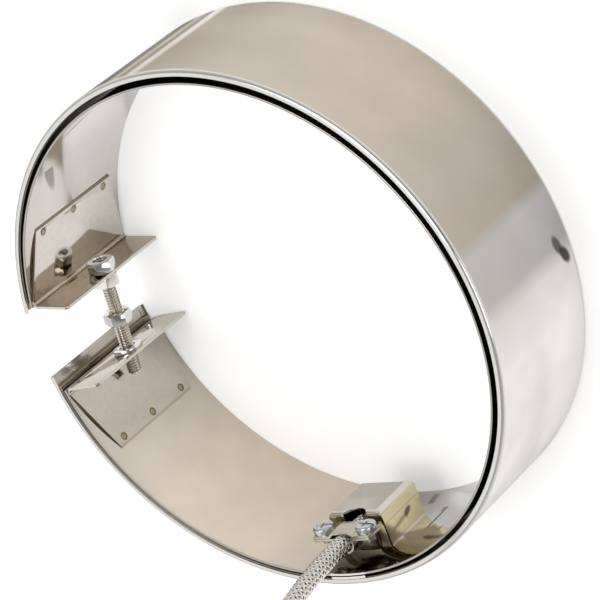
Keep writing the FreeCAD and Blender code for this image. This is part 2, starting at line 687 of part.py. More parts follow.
def foot(sign):
    """One foot: a strip of the strap's curve beyond the box's side wall."""
    drawing = new_sketch(box, "XY_Plane", MIDDLE)
    outer, inner = SEAT_R, f"({SEAT_R} - dim.box_t)"
    near, far = value(FOOT_NEAR) * sign, value(FOOT_FAR) * sign
    corners = []
    for radius, azimuth in ((inner, near), (inner, far), (outer, far), (outer, near)):
        a = math.radians(azimuth)
        corners.append(Vector(value(radius) * math.cos(a), value(radius) * math.sin(a), 0))
    for radius, first, second in ((inner, near, far), (outer, near, far)):
        start, end = sorted((math.radians(first), math.radians(second)))
        circle = Part.Circle(Vector(), Vector(0, 0, 1), value(radius))
        arc = drawing.addGeometry(Part.ArcOfCircle(circle, start, end), False)
        drawing.addConstraint(Sketcher.Constraint("Coincident", arc, 3, -1, 1))
        rule = drawing.addConstraint(Sketcher.Constraint("Radius", arc, value(radius)))
        drawing.setExpression(f"Constraints[{rule}]", radius)
    ends = (1, 2) if sign > 0 else (2, 1)
    for line, (a, b) in enumerate(((1, 2), (3, 0)), start=2):
        drawing.addGeometry(Part.LineSegment(corners[a], corners[b]), False)
    far_end, near_end = ends[1], ends[0]
    drawing.addConstraint(Sketcher.Constraint("Coincident", 2, 1, 0, far_end))
    drawing.addConstraint(Sketcher.Constraint("Coincident", 2, 2, 1, far_end))
    drawing.addConstraint(Sketcher.Constraint("Coincident", 3, 1, 1, near_end))
    drawing.addConstraint(Sketcher.Constraint("Coincident", 3, 2, 0, near_end))
    for point, expression in ((far_end, FOOT_FAR), (near_end, FOOT_NEAR)):
        height = f"{sign} * {SEAT_R} * sin({expression})"
        rule = drawing.addConstraint(
            Sketcher.Constraint("DistanceY", -1, 1, 1, point, value(height))
        )
        drawing.setExpression(f"Constraints[{rule}]", height)
        inner_height = f"{sign} * ({SEAT_R} - dim.box_t) * sin({expression})"
        rule = drawing.addConstraint(
            Sketcher.Constraint("DistanceY", -1, 1, 0, point, value(inner_height))
        )
        drawing.setExpression(f"Constraints[{rule}]", inner_height)
    return pad(box, drawing, "dim.box_l", middle=True)


for sign in (1, -1):
    strip = foot(sign)
far_y = value(f"({SEAT_R} - dim.box_t) * sin({FOOT_FAR})") - 0.3
cornered = bevel(
    box,
    strip,
    lambda e: e.Length < value("dim.box_t") * 1.2 and all(abs(v.Y) > far_y for v in e.Vertexes),
    "dim.foot_corner",
)
# The lead's notch: a round-bottomed slot down the end wall, and a round bite out of the top.
WALL_IN = f"{BOX_HIGH} - dim.box_t * 1.1"
notch = new_sketch(box, "XY_Plane", WALL_IN)
add_circle(notch, LEAD_AT, "0", "dim.notch_r * 2")
slot = new_sketch(box, "XY_Plane", WALL_IN)
add_outline(slot, rect(f"{BOX_TOP} - 1", "-dim.notch_r", LEAD_AT, "dim.notch_r"))
for drawing in (notch, slot):
    pocket(box, drawing, "dim.box_t * 2", flip=True)
BITE_R = "((dim.notch_r * dim.notch_r + dim.notch_deep * dim.notch_deep) / (2 * dim.notch_deep))"
bite = new_sketch(box, "YZ_Plane", f"{BOX_TOP} + dim.box_t * 1.1")
add_circle(bite, "0", f"{BOX_HIGH} - dim.notch_deep + {BITE_R}", f"2 * {BITE_R}")
pocket(box, bite, "dim.box_t * 2")
# Three spot welds hold each foot.
WELD_Y = f"({BOX_SIDE} + dim.weld_inset + dim.weld_d / 2)"
FOOT_FACE = f"sqrt(({SEAT_R} - dim.box_t) * ({SEAT_R} - dim.box_t) - {WELD_Y} * {WELD_Y})"
for sign in (1, -1):
    welds = new_sketch(box, "YZ_Plane", f"{FOOT_FACE} + dim.weld_deep")
    for step in ("-1", "0", "1"):
        place = f"{MIDDLE} + {step} * dim.foot_pitch"
        add_circle(welds, f"{sign} * {WELD_Y}", place, "dim.weld_d * 0.8")
    pocket(box, welds, "dim.box_t")
put(box, "dim.box_az", on_strap=True)

# Terminal posts with ceramic bushings, standing on the cover inside the box, in the cover's own circle.
HEAD_Y = "(dim.post_pitch / 2 + dim.post_head_d / 2)"
HEAD_R = f"(sqrt({COVER_R} * {COVER_R} - {HEAD_Y} * {HEAD_Y}) - dim.seat_play)"


def post_solids(label, shapes):
    """Two like turned pieces, one on each post, as a group of separate solids."""
    pieces = []
    for sign in (-1, 1):
        y, z = sign * value("dim.post_pitch") / 2, value(POST_Z)
        solid = None
        for start, end, diameter, bore in shapes:
            start_x, length = value(start), value(f"{end} - {start}")
            disc = Part.makeCylinder(value(diameter) / 2, length, Vector(start_x, y, z), Vector(1, 0, 0))
            if bore:
                disc = disc.cut(
                    Part.makeCylinder(value(bore) / 2, length, Vector(start_x, y, z), Vector(1, 0, 0))
                )
            solid = disc if solid is None else solid.fuse(disc)
        pieces.append(solid)
    group = node(doc.addObject("Part::Feature", label), label)
    group.Shape = Part.makeCompound(pieces)
    put(group, "dim.box_az")
    return group


BUSH_TOP = f"({HEAD_R} - dim.post_head_h - dim.bush_h)"
EYELET_TOP = f"({BUSH_TOP} - dim.eyelet_t)"
NUT_TOP = f"({EYELET_TOP} - dim.post_nut_h)"
post_solids(
    "terminal_posts",
    [
        (f"({HEAD_R} - dim.post_l)", HEAD_R, "dim.post_d", None),
        (f"({HEAD_R} - dim.post_head_h)", HEAD_R, "dim.post_head_d", None),
    ],
)
POST_BORE = "dim.post_d + 2 * dim.thread_play"
post_solids(
    "ceramic_bushings",
    [(BUSH_TOP, f"({HEAD_R} - dim.post_head_h)", "dim.bush_d", POST_BORE)],
)
post_solids("lead_eyelets", [(EYELET_TOP, BUSH_TOP, "dim.eyelet_d", POST_BORE)])
post_nuts = node(doc.addObject("Part::Feature", "terminal_nuts"), "terminal_nuts")
pieces = []
for sign in (-1, 1):
    prism = Part.makePolygon(
        [
            Vector(
                value(NUT_TOP),
                sign * value("dim.post_pitch") / 2
                + value("dim.post_nut_af") / 2 / math.cos(math.pi / 6) * math.cos(math.pi / 3 * k),
                value(POST_Z)
                + value("dim.post_nut_af") / 2 / math.cos(math.pi / 6) * math.sin(math.pi / 3 * k),
            )
            for k in range(7)
        ]
    )
    prism = Part.Face(prism).extrude(Vector(value("dim.post_nut_h"), 0, 0))
    bore = Part.makeCylinder(
        value(POST_BORE) / 2,
        value("dim.post_nut_h"),
        Vector(value(NUT_TOP), sign * value("dim.post_pitch") / 2, value(POST_Z)),
        Vector(1, 0, 0),
    )
    pieces.append(prism.cut(bore))
post_nuts.Shape = Part.makeCompound(pieces)
put(post_nuts, "dim.box_az")

# Lead clamp: a bracket welded to the box's end wall, with a trough for the lead, a saddle over the
# lead whose ears lie on the bracket, and two screws.
CLAMP_Z = f"({BOX_HIGH} + dim.clamp_out)"
CLAMP_LOW, CLAMP_HIGH = f"({CLAMP_Z} - dim.clamp_w / 2)", f"({CLAMP_Z} + dim.clamp_w / 2)"
LEAD_R = "(dim.lead_d / 2 + dim.lead_play)"
EAR_R = f"({LEAD_AT} - dim.saddle_drop - dim.saddle_t)"
BAR_R = f"({EAR_R} + dim.saddle_t)"
SCREW_Y = "dim.clamp_pitch / 2"


def screw_holes(body, clearance, reach):
    """Bores the clamp's two screw holes along X through a bar."""
    holes = new_sketch(body, "YZ_Plane", LEAD_AT)
    for sign in ("-1", "1"):
        add_circle(holes, f"{sign} * {SCREW_Y}", CLAMP_Z, f"dim.screw_d + 2 * {clearance}")
    pocket(body, holes, reach, middle=True)


bracket = new_body("clamp_bracket")
drawing = new_sketch(bracket, "XY_Plane", CLAMP_LOW)
add_outline(
    drawing, rect(BAR_R, "-dim.clamp_l / 2", f"{BAR_R} + dim.bracket_t", "dim.clamp_l / 2")
)
pad(bracket, drawing, "dim.clamp_w")
drawing = new_sketch(bracket, "XY_Plane", CLAMP_LOW)
pad(bracket, add_circle(drawing, LEAD_AT, "0", f"2 * ({LEAD_R} + dim.bracket_t)"), "dim.clamp_w")
drawing = new_sketch(bracket, "XY_Plane", CLAMP_Z)
add_outline(drawing, rect(f"{LEAD_AT} - {LEAD_R} * 2", f"-{LEAD_R} * 2", BAR_R, f"{LEAD_R} * 2"))
pocket(bracket, drawing, "dim.clamp_w * 2", middle=True)
neck = new_sketch(bracket, "XZ_Plane")
add_outline(
    neck,
    [
        (BAR_R, BOX_HIGH),
        (BAR_R, f"{CLAMP_LOW} + 1"),
        (f"{BAR_R} + dim.bracket_t", f"{CLAMP_LOW} + 1"),
        (f"{BAR_R} + dim.bracket_t", f"{BOX_HIGH} + dim.bracket_t"),
        (f"{SEAT_R} - 1", f"{BOX_HIGH} + dim.bracket_t"),
        (f"{SEAT_R} - 1", BOX_HIGH),
    ],
)
pad(bracket, neck, "dim.bracket_neck", middle=True)
bore = add_circle(new_sketch(bracket, "XY_Plane", CLAMP_Z), LEAD_AT, "0", f"2 * {LEAD_R}")
pocket(bracket, bore, "dim.clamp_w * 3", middle=True)
screw_holes(bracket, "dim.thread_play", "dim.lead_d * 3")
put(bracket, "dim.box_az", on_strap=True)

saddle = new_body("clamp_saddle")
SADDLE_TOP = f"{LEAD_AT} - {LEAD_R} - dim.saddle_t"
SLOPE_IN = "dim.saddle_t * 0.4"
half_hat = [
    (EAR_R, "dim.clamp_l / 2"),
    (EAR_R, "(dim.saddle_flat / 2 + dim.saddle_slope)"),
    (SADDLE_TOP, "dim.saddle_flat / 2"),
]
under_hat = [
    (f"{SADDLE_TOP} + dim.saddle_t", f"(dim.saddle_flat / 2 - {SLOPE_IN})"),
    (BAR_R, f"(dim.saddle_flat / 2 + dim.saddle_slope - {SLOPE_IN})"),
    (BAR_R, "dim.clamp_l / 2"),
]
other_half = [(x, f"-{y}") for x, y in reversed(half_hat)]
under_other_half = [(x, f"-{y}") for x, y in reversed(under_hat)]
drawing = new_sketch(saddle, "XY_Plane", CLAMP_LOW)
add_outline(drawing, half_hat + other_half + under_other_half + under_hat)
pad(saddle, drawing, "dim.clamp_w")
screw_holes(saddle, "dim.screw_hole_play", "dim.lead_d * 3")
put(saddle, "dim.box_az", on_strap=True)


def clamp_screw(label, sign, slot_turn):
    """A slotted pan-head screw that points outwards, threaded into the bracket."""
    body = new_body(label)
    top, under = f"({EAR_R} - dim.screw_head_h)", EAR_R
    tail = f"({BAR_R} + dim.bracket_t + dim.screw_tail)"
    drawing = new_sketch(body, "XZ_Plane")
    add_outline(
        drawing,
        [
            ("0", f"-{top}"),
            ("dim.screw_head_d / 2", f"-{top}"),
            ("dim.screw_head_d / 2", f"-{under}"),
            ("dim.screw_d / 2", f"-{under}"),
            ("dim.screw_d / 2", f"-{tail}"),
            ("0", f"-{tail}"),
        ],
    )
    shank = turn(body, drawing, "360")
    head = value("dim.screw_head_d") / 2
    domed = bend(
        body, shank, lambda e: is_round(e, head, (-value(top),)), "dim.screw_head_h * 0.3"
    )
    for arm, length in ((0, "dim.screw_head_d * 1.2"), (90, "dim.screw_head_d * 0.5")):
        drawing = new_sketch(body, "XY_Plane", f"-{top}")
        drawing.AttachmentOffset = Placement(
            Vector(0, 0, -value(top)), Rotation(Vector(0, 0, 1), arm + slot_turn)
        )
        half, wide = f"{length} / 2", "dim.screw_slot / 2"
        add_outline(drawing, rect(f"-{half}", f"-{wide}", half, wide))
        pocket(body, drawing, "dim.screw_slot")
    azimuth = math.radians(value("dim.box_az"))
    shift = math.radians(value("dim.strap_shift_az"))
    out, round_ring = (
        Vector(math.cos(azimuth), math.sin(azimuth), 0),
        Vector(-math.sin(azimuth), math.cos(azimuth), 0),
    )
    base = Vector(math.cos(shift), math.sin(shift), 0) * value("dim.strap_shift")
    base += round_ring * sign * value(SCREW_Y) + Vector(0, 0, value(CLAMP_Z))
    body.Placement = Placement(base, Rotation(round_ring, Vector(), out * -1, "ZXY"))
    return body


clamp_screw("clamp_screw_left", -1, 12)
clamp_screw("clamp_screw_right", 1, -8)


# Lead. All its points are in the terminal box's frame: outwards, round the ring, up.

def pipe(path, radius):
    """A round bar along a wire, from its first point."""
    edge = path.OrderedEdges[0]
    start = edge.valueAt(edge.FirstParameter)
    heading = edge.tangentAt(edge.FirstParameter)
    if (path.OrderedVertexes[0].Point - start).Length > 0.001:
        start, heading = edge.valueAt(edge.LastParameter), edge.tangentAt(edge.LastParameter) * -1
    section = Part.Wire(Part.makeCircle(radius, start, heading))
    sweep = Part.BRepOffsetAPI.MakePipeShell(path)
    sweep.add(section)
    sweep.build()
    sweep.makeSolid()
    return sweep.shape()


def rounded_route(points, name):
    """Straight runs joined by tangent arcs, each arc as large as 0.45 of its shorter run allows."""
    edges, last = [], points[0]
    radii = []
    for before, corner, after in zip(points, points[1:], points[2:]):
        back, ahead = before - corner, after - corner
        shorter = min(back.Length, ahead.Length)
        back.normalize()
        ahead.normalize()
        half_turn = (math.pi - back.getAngle(ahead)) / 2
        reach = 0.45 * shorter
        radii.append(reach / math.tan(half_turn))
        begin, end = corner + back * reach, corner + ahead * reach
        bisector = back + ahead
        bisector.normalize()
        centre = corner + bisector * (radii[-1] / math.cos(half_turn))
        middle = centre - bisector * radii[-1]
        edges.append(Part.LineSegment(last, begin).toShape())
        edges.append(Part.Arc(begin, middle, end).toShape())
        last = end
    edges.append(Part.LineSegment(last, points[-1]).toShape())
    print(name, "arc radii:", ", ".join(f"{r:.1f}" for r in radii))
    return Part.Wire(edges)


def lead_piece(label, shape):
    """A piece of the lead, set in the box's frame and carried by the strap."""
    piece = node(doc.addObject("Part::Feature", label), label)
    piece.Shape = shape
    return put(piece, "dim.box_az", on_strap=True)


lead_radius = value("dim.lead_d") / 2
lead_out = value(LEAD_AT)
inside_z = value(f"{BOX_HIGH} - dim.box_t - dim.lead_inside")
exit_z = value(CLAMP_HIGH)
entry = Part.makeCylinder(lead_radius, exit_z - inside_z, Vector(lead_out, 0, inside_z))
lead_piece("lead_entry", entry)

# The free lead rises along the ring's axis, bends over the rim and comes down to lie beside the ring.
LEAD_ROUTE = [
    Vector(lead_out, 0, exit_z),
    Vector(lead_out, 0, 118),
    Vector(134, 0, 148.5),
    Vector(175.5, 0, 150),
    Vector(205, 3, 120),
    Vector(208, 9, 77),
    Vector(203, 27, 36),
    Vector(192, 62, lead_radius),
    Vector(172, 104, lead_radius),
    Vector(143, 140, lead_radius),
]
route = rounded_route(LEAD_ROUTE, "lead_braid")
braid = pipe(route, lead_radius)
lead_piece("lead_braid", braid)
expected = math.pi * lead_radius**2 * route.Length
print(f"lead_braid: length {route.Length:.1f}, volume {braid.Volume / expected:.4f} of section x length")

# Ferrule and tails at the lead's far end, in line with its last run.
heading = LEAD_ROUTE[-1] - LEAD_ROUTE[-2]
heading.normalize()
sideways = Vector(-heading.y, heading.x, 0)
end = LEAD_ROUTE[-1]
ferrule_r = value("dim.ferrule_d") / 2
wire_r = value("dim.wire_d") / 2
lift = Vector(0, 0, ferrule_r - lead_radius)
ferrule = Part.makeCylinder(ferrule_r, value("dim.ferrule_l"), end + lift, heading)
lead_piece("lead_ferrule", ferrule)
tail_start = end + lift + heading * value("dim.ferrule_l")
tips = []
for label, sign in (("lead_tail_a", 1), ("lead_tail_b", -1)):
    start = tail_start + sideways * sign * wire_r * 1.3
    fall = Vector(0, 0, wire_r - start.z)
    points = [
        start,
        start + heading * value("dim.tail_l") * 0.3,
        start + heading * value("dim.tail_l") * 0.62 + sideways * sign * 3.2 + fall,
        start + heading * value("dim.tail_l") + sideways * sign * 7.5 + fall,
    ]
    lead_piece(label, pipe(rounded_route(points, label), wire_r))
    last_run = points[-1] - points[-2]
    last_run.normalize()
    tips.append(
        Part.makeCylinder(value("dim.tip_d") / 2, value("dim.tip_l"), points[-1], last_run)
    )
lead_piece("tinned_tips", Part.makeCompound(tips))

# Two insulated wires from the lead's inner end to the eyelets on the posts.
inner = []
eyelet_z = value(POST_Z)
wire_x = value(f"{BUSH_TOP} - dim.wire_d / 2 - dim.strap_shift - dim.seat_play")
for sign in (-1, 1):
    y_out = sign * value("dim.post_pitch") / 2
    points = [
        Vector(lead_out, sign * wire_r * 1.25, inside_z),
        Vector(lead_out, sign * wire_r * 1.25, inside_z - 2.6),
        Vector(wire_x, y_out, inside_z - 5.2),
        Vector(wire_x, y_out, eyelet_z + value("dim.eyelet_d") / 2 + 0.05),
    ]
    inner.append(pipe(rounded_route(points, "inner_wires"), wire_r))
lead_piece("inner_wires", Part.makeCompound(inner))

doc.recompute()
failed = [o.Label for o in doc.Objects if {"Invalid", "Error"} & set(o.State)]
failed += [p.Label for p in nodes if p.Shape.isNull() or not p.Shape.isValid() or not p.Shape.Solids]
if failed:
    raise RuntimeError(f"these didn't build: {failed}")
os.makedirs("parts", exist_ok=True)
for piece in nodes:
    piece.Shape.exportStep(f"parts/{piece.Label}.step")
    print(f"{piece.Label}: {len(piece.Shape.Solids)} solid(s), {piece.Shape.Volume:.1f} mm3")
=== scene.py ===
import math

import bpy
from mathutils import Matrix, Quaternion, Vector


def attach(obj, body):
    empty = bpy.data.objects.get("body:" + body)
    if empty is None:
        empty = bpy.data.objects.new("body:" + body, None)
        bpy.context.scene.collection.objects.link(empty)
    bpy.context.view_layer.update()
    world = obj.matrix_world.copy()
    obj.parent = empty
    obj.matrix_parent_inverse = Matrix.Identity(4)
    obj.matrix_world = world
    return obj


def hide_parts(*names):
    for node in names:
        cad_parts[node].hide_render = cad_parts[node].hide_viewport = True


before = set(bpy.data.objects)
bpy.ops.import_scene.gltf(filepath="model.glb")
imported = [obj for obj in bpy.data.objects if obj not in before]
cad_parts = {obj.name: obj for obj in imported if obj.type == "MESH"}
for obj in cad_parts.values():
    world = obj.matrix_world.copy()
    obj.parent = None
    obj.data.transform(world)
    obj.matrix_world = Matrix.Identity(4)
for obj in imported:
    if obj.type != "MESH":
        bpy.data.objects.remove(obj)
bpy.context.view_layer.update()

MM = 0.001

# Camera. It looks down on the standing ring at 45 degrees, from the side where the terminal box is near,
# and is rolled so that the expansion gap points to the picture's left.
CAMERA_AT = Vector((-0.28827, -0.91428, 0.99917))
CAMERA_LOOKS_AT = Vector((-0.00303, -0.00101, 0.03495))
CAMERA_ROLL = math.radians(-131.05)
CAMERA_LENS = 193.4

camera = bpy.data.objects.new("camera", bpy.data.cameras.new("camera"))
bpy.context.scene.collection.objects.link(camera)
camera.data.lens = CAMERA_LENS
camera.data.sensor_width = 36
camera.data.clip_start = 0.05
camera.data.clip_end = 60
camera.location = CAMERA_AT
camera.rotation_mode = "QUATERNION"
looking = (CAMERA_LOOKS_AT - CAMERA_AT).to_track_quat("-Z", "Y")
camera.rotation_quaternion = looking @ Quaternion((0, 0, 1), CAMERA_ROLL)
bpy.context.scene.camera = camera

# Studio. A white floor that shows white to the camera and in polished metal, and keeps the ring's shadow;
# a pale room, brighter opposite the camera and darker behind it; a large lamp overhead and a small one.
# FLOOR_WHITENING and FLOOR_REFLECTED are the light the floor gives off to the camera and in metal.
FLOOR_SIZE = 40.0
FLOOR_COLOUR = (0.93, 0.93, 0.925, 1)
FLOOR_WHITENING = 0.32
FLOOR_REFLECTED = 0.21
ROOM_LOW, ROOM_HIGH = (0.82, 0.82, 0.825, 1), (0.46, 0.455, 0.445, 1)
ROOM_BRIGHT, ROOM_DIM = (1.1, 1.1, 1.1, 1), (0.16, 0.15, 0.145, 1)
BRIGHT_SIDE = Vector((0.2185, 0.6725, 0.7071))
DIM_SIDE = Vector((-0.62, -0.45, 0.64))

bpy.context.scene.view_settings.view_transform = "Standard"


def new_material(name):
    """An empty node material with its output and a Principled BSDF."""
    material = bpy.data.materials.new(name)
    material.use_nodes = True
    return material, material.node_tree.nodes, material.node_tree.links


bpy.ops.mesh.primitive_plane_add(size=FLOOR_SIZE, location=(0, 0, 0))
floor = bpy.context.object
floor.name = "floor"
material, nodes, links = new_material("white_floor")
paint = nodes["Principled BSDF"]
paint.inputs["Base Color"].default_value = FLOOR_COLOUR
paint.inputs["Roughness"].default_value = 0.9
paint.inputs["Specular IOR Level"].default_value = 0.0
paint.inputs["Emission Color"].default_value = (1, 1, 1, 1)
ray = nodes.new("ShaderNodeLightPath")
reflected = nodes.new("ShaderNodeMath")
reflected.operation = "MULTIPLY"
reflected.inputs[1].default_value = FLOOR_REFLECTED
links.new(ray.outputs["Is Glossy Ray"], reflected.inputs[0])
whitening = nodes.new("ShaderNodeMath")
whitening.operation = "MULTIPLY_ADD"
whitening.inputs[1].default_value = FLOOR_WHITENING
links.new(ray.outputs["Is Camera Ray"], whitening.inputs[0])
links.new(reflected.outputs[0], whitening.inputs[2])
links.new(whitening.outputs[0], paint.inputs["Emission Strength"])
floor.data.materials.append(material)

world = bpy.data.worlds.new("room")
bpy.context.scene.world = world
world.use_nodes = True
nodes, links = world.node_tree.nodes, world.node_tree.links
where = nodes.new("ShaderNodeTexCoord")
height = nodes.new("ShaderNodeSeparateXYZ")
tones = nodes.new("ShaderNodeValToRGB")
tones.color_ramp.elements[0].position = 0.0
tones.color_ramp.elements[0].color = ROOM_LOW
tones.color_ramp.elements[1].position = 0.75
tones.color_ramp.elements[1].color = ROOM_HIGH
links.new(where.outputs["Generated"], height.inputs["Vector"])
links.new(height.outputs["Z"], tones.inputs["Fac"])
room = tones.outputs["Color"]
for side, colour, start, full in (
    (BRIGHT_SIDE, ROOM_BRIGHT, 0.80, 0.95),
    (DIM_SIDE, ROOM_DIM, 0.86, 0.97),
):
    facing = nodes.new("ShaderNodeVectorMath")
    facing.operation = "DOT_PRODUCT"
    facing.inputs[1].default_value = side
    links.new(where.outputs["Generated"], facing.inputs[0])
    share = nodes.new("ShaderNodeMapRange")
    share.interpolation_type = "SMOOTHSTEP"
    share.inputs["From Min"].default_value = start
    share.inputs["From Max"].default_value = full
    links.new(facing.outputs["Value"], share.inputs["Value"])
    blend = nodes.new("ShaderNodeMix")
    blend.data_type = "RGBA"
    links.new(share.outputs["Result"], blend.inputs["Factor"])
    links.new(room, blend.inputs["A"])
    blend.inputs["B"].default_value = colour
    room = blend.outputs["Result"]
links.new(room, nodes["Background"].inputs["Color"])
nodes["Background"].inputs["Strength"].default_value = 1.0


def add_lamp(name, location, aim, size, power):
    """A square soft box that points at a place."""
    lamp = bpy.data.objects.new(name, bpy.data.lights.new(name, "AREA"))
    lamp.data.shape = "SQUARE"
    lamp.data.size = size
    lamp.data.energy = power
    lamp.location = location
    lamp.rotation_mode = "QUATERNION"
    lamp.rotation_quaternion = (Vector(aim) - Vector(location)).to_track_quat("-Z", "Y")
    bpy.context.scene.collection.objects.link(lamp)


add_lamp("overhead", (0.25, -0.15, 1.7), (0, 0, 0), 1.1, 11)
add_lamp("beside_camera", (-1.2, -0.7, 0.9), (0, 0, 0.03), 0.7, 4)

# Braided lead. A tube of bright stainless wire, plaited from flat bundles that cross under and over
# each other. It leaves the clamp along the ring's axis, bends over the rim and lies down beside the ring.
# The terminal box sits at BOX_AZIMUTH on the strap, whose circle lies off the ring's by STRAP_OFF.
BOX_AZIMUTH = math.radians(135.6)
STRAP_OFF, STRAP_OFF_AZIMUTH = 0.5 * MM, 110
LEAD_D = 8.5 * MM
LEAD_OUT = 104.1
LEAD_EXIT_Z, LEAD_INNER_Z = 62.325, 43.125
# Each hand of the plait has BUNDLES bundles. A bundle goes once round in BUNDLE_TURN and rises and sinks
# by BUNDLE_LIFT where it crosses the others; its section is given in half widths and thicknesses.
BUNDLES = 8
BUNDLE_TURN = 23.2 * MM
CROSSING = BUNDLE_TURN / (2 * BUNDLES)
STEPS_PER_CROSSING = 3
BUNDLE_LIFT = 0.2 * MM
BUNDLE_W = 2.45 * MM
BUNDLE_T = 0.6 * MM
BUNDLE_SECTION = ((-1, -0.35), (-0.55, 0.3), (0, 0.5), (0.55, 0.3), (1, -0.35))
CORE_R, CORE_SIDES = 3.35 * MM, 14
# The lead's middle line in the box's frame: outwards, round the ring and up, in mm.
LEAD_ROUTE = [
    (LEAD_OUT, 0, LEAD_EXIT_Z),
    (LEAD_OUT, 0, 118),
    (134, 0, 148.5),
    (175.5, 0, 150),
    (205, 3, 120),
    (208, 9, 77),
    (203, 27, 36),
    (192, 62, 4.25),
    (172, 104, 4.25),
    (143, 140, 4.25),
]


def direction(degrees):
    """The level direction at an azimuth."""
    return Vector((math.cos(math.radians(degrees)), math.sin(math.radians(degrees)), 0))


STRAP_SHIFT = STRAP_OFF * direction(STRAP_OFF_AZIMUTH)


def from_box(x, y, z):
    """A point given in the terminal box's frame, in mm, as a place in the scene."""
    return Matrix.Rotation(BOX_AZIMUTH, 3, "Z") @ Vector((x, y, z)) * MM + STRAP_SHIFT


def even_points(points, count):
    """The same line in equal steps, and its length."""
    reach = [0.0]
    for a, b in zip(points, points[1:]):
        reach.append(reach[-1] + (b - a).length)
    result, k = [], 0
    for i in range(count + 1):
        along = reach[-1] * i / count
        while k < len(points) - 2 and reach[k + 1] < along:
            k += 1
        share = (along - reach[k]) / (reach[k + 1] - reach[k])
        result.append(points[k].lerp(points[k + 1], share))
    return result, reach[-1]


def carried_frames(points):
    """Two directions across the line at each point, turned as little as possible from one to the next."""
    frames, side = [], None
    for i, point in enumerate(points):
        ahead = points[min(i + 1, len(points) - 1)] - points[max(i - 1, 0)]
        ahead.normalize()
        side = ahead.orthogonal() if side is None else side - ahead * side.dot(ahead)
        side.normalize()
        frames.append((side.copy(), ahead.cross(side)))
    return frames


def only(piece):
    """Selects one object and makes it active."""
    bpy.ops.object.select_all(action="DESELECT")
    piece.select_set(True)
    bpy.context.view_layer.objects.active = piece


def tube_faces(first, rings, corners):
    """Faces of a closed tube whose corners were added ring by ring."""
    faces = []
    for i in range(rings - 1):
        for k in range(corners):
            a, b = first + corners * i + k, first + corners * i + (k + 1) % corners
            faces.append((a, b, b + corners, a + corners))
    for start in (first, first + corners * (rings - 1)):
        faces.append(tuple(range(start, start + corners)))
    return faces


def plait(name, points, length):
    """A braid round a dark core along evenly spaced points."""
    frames = carried_frames(points)
    step = length / (len(points) - 1)
    vertices, faces = [], []
    radius = LEAD_D / 2 - BUNDLE_T / 2 - BUNDLE_LIFT
    for hand in (1, -1):
        for bundle in range(BUNDLES):
            first = len(vertices)
            for i, (point, (side, up)) in enumerate(zip(points, frames)):
                along = i * step
                angle = math.tau * (bundle / BUNDLES + hand * along / BUNDLE_TURN)
                lift = hand * BUNDLE_LIFT * math.cos(math.pi * along / CROSSING)
                out = side * math.cos(angle) + up * math.sin(angle)
                across = (up * math.cos(angle) - side * math.sin(angle)) * (BUNDLE_W / 2)
                middle = point + out * (radius + lift)
                for shift, rise in BUNDLE_SECTION:
                    vertices.append(middle + across * shift + out * rise * BUNDLE_T)
            faces += tube_faces(first, len(points), len(BUNDLE_SECTION))
    first = len(vertices)
    for point, (side, up) in zip(points, frames):
        for k in range(CORE_SIDES):
            angle = math.tau * k / CORE_SIDES
            vertices.append(point + (side * math.cos(angle) + up * math.sin(angle)) * CORE_R)
    core_from = len(faces)
    faces += tube_faces(first, len(points), CORE_SIDES)
    mesh = bpy.data.meshes.new(name)
    mesh.from_pydata(vertices, [], faces)
    for face in mesh.polygons:
        face.use_smooth = True
        face.material_index = 1 if face.index >= core_from else 0
    piece = bpy.data.objects.new(name, mesh)
    bpy.context.scene.collection.objects.link(piece)
    only(piece)
    bpy.ops.object.mode_set(mode="EDIT")
    bpy.ops.mesh.select_all(action="SELECT")
    bpy.ops.mesh.normals_make_consistent(inside=False)
    bpy.ops.object.mode_set(mode="OBJECT")
    return piece


# How far a metal's tone and roughness wander, and how deep its grain is where it has any.
TONE_DRIFT = 0.10
ROUGHNESS_LOW, ROUGHNESS_HIGH = 0.7, 1.4
GRAIN_DEPTH = 0.1 * MM


def sheen_metal(name, colour, roughness, bump=0.0, grain=(400, 400, 400)):
    """A metal whose roughness and tone wander a little, with fine grain in its surface."""
    material, nodes, links = new_material(name)
    shader = nodes["Principled BSDF"]
    shader.inputs["Metallic"].default_value = 1.0
    where = nodes.new("ShaderNodeTexCoord")
    stretch = nodes.new("ShaderNodeMapping")
    stretch.inputs["Scale"].default_value = grain
    noise = nodes.new("ShaderNodeTexNoise")
    noise.inputs["Scale"].default_value = 1.0
    noise.inputs["Detail"].default_value = 3.0
    links.new(where.outputs["Object"], stretch.inputs["Vector"])
    links.new(stretch.outputs["Vector"], noise.inputs["Vector"])
    spread = nodes.new("ShaderNodeMapRange")
    spread.inputs["To Min"].default_value = roughness * ROUGHNESS_LOW
    spread.inputs["To Max"].default_value = roughness * ROUGHNESS_HIGH
    links.new(noise.outputs["Fac"], spread.inputs["Value"])
    links.new(spread.outputs["Result"], shader.inputs["Roughness"])
    if bump:
        relief = nodes.new("ShaderNodeBump")
        relief.inputs["Strength"].default_value = bump
        relief.inputs["Distance"].default_value = GRAIN_DEPTH
        links.new(noise.outputs["Fac"], relief.inputs["Height"])
        links.new(relief.outputs["Normal"], shader.inputs["Normal"])
    lighter = nodes.new("ShaderNodeMapRange")
    lighter.inputs["To Min"].default_value = 1.0 - TONE_DRIFT
    lighter.inputs["To Max"].default_value = 1.0 + TONE_DRIFT
    links.new(noise.outputs["Fac"], lighter.inputs["Value"])
    shade = nodes.new("ShaderNodeHueSaturation")
    shade.name = "Shade"
    shade.inputs["Color"].default_value = (*colour, 1)
    links.new(lighter.outputs["Result"], shade.inputs["Value"])
    links.new(shade.outputs["Color"], shader.inputs["Base Color"])
    return material


braid_wire = sheen_metal("braid_wire", (0.76, 0.73, 0.69), 0.16)
braid_dark = sheen_metal("braid_shadow", (0.30, 0.23, 0.12), 0.5)

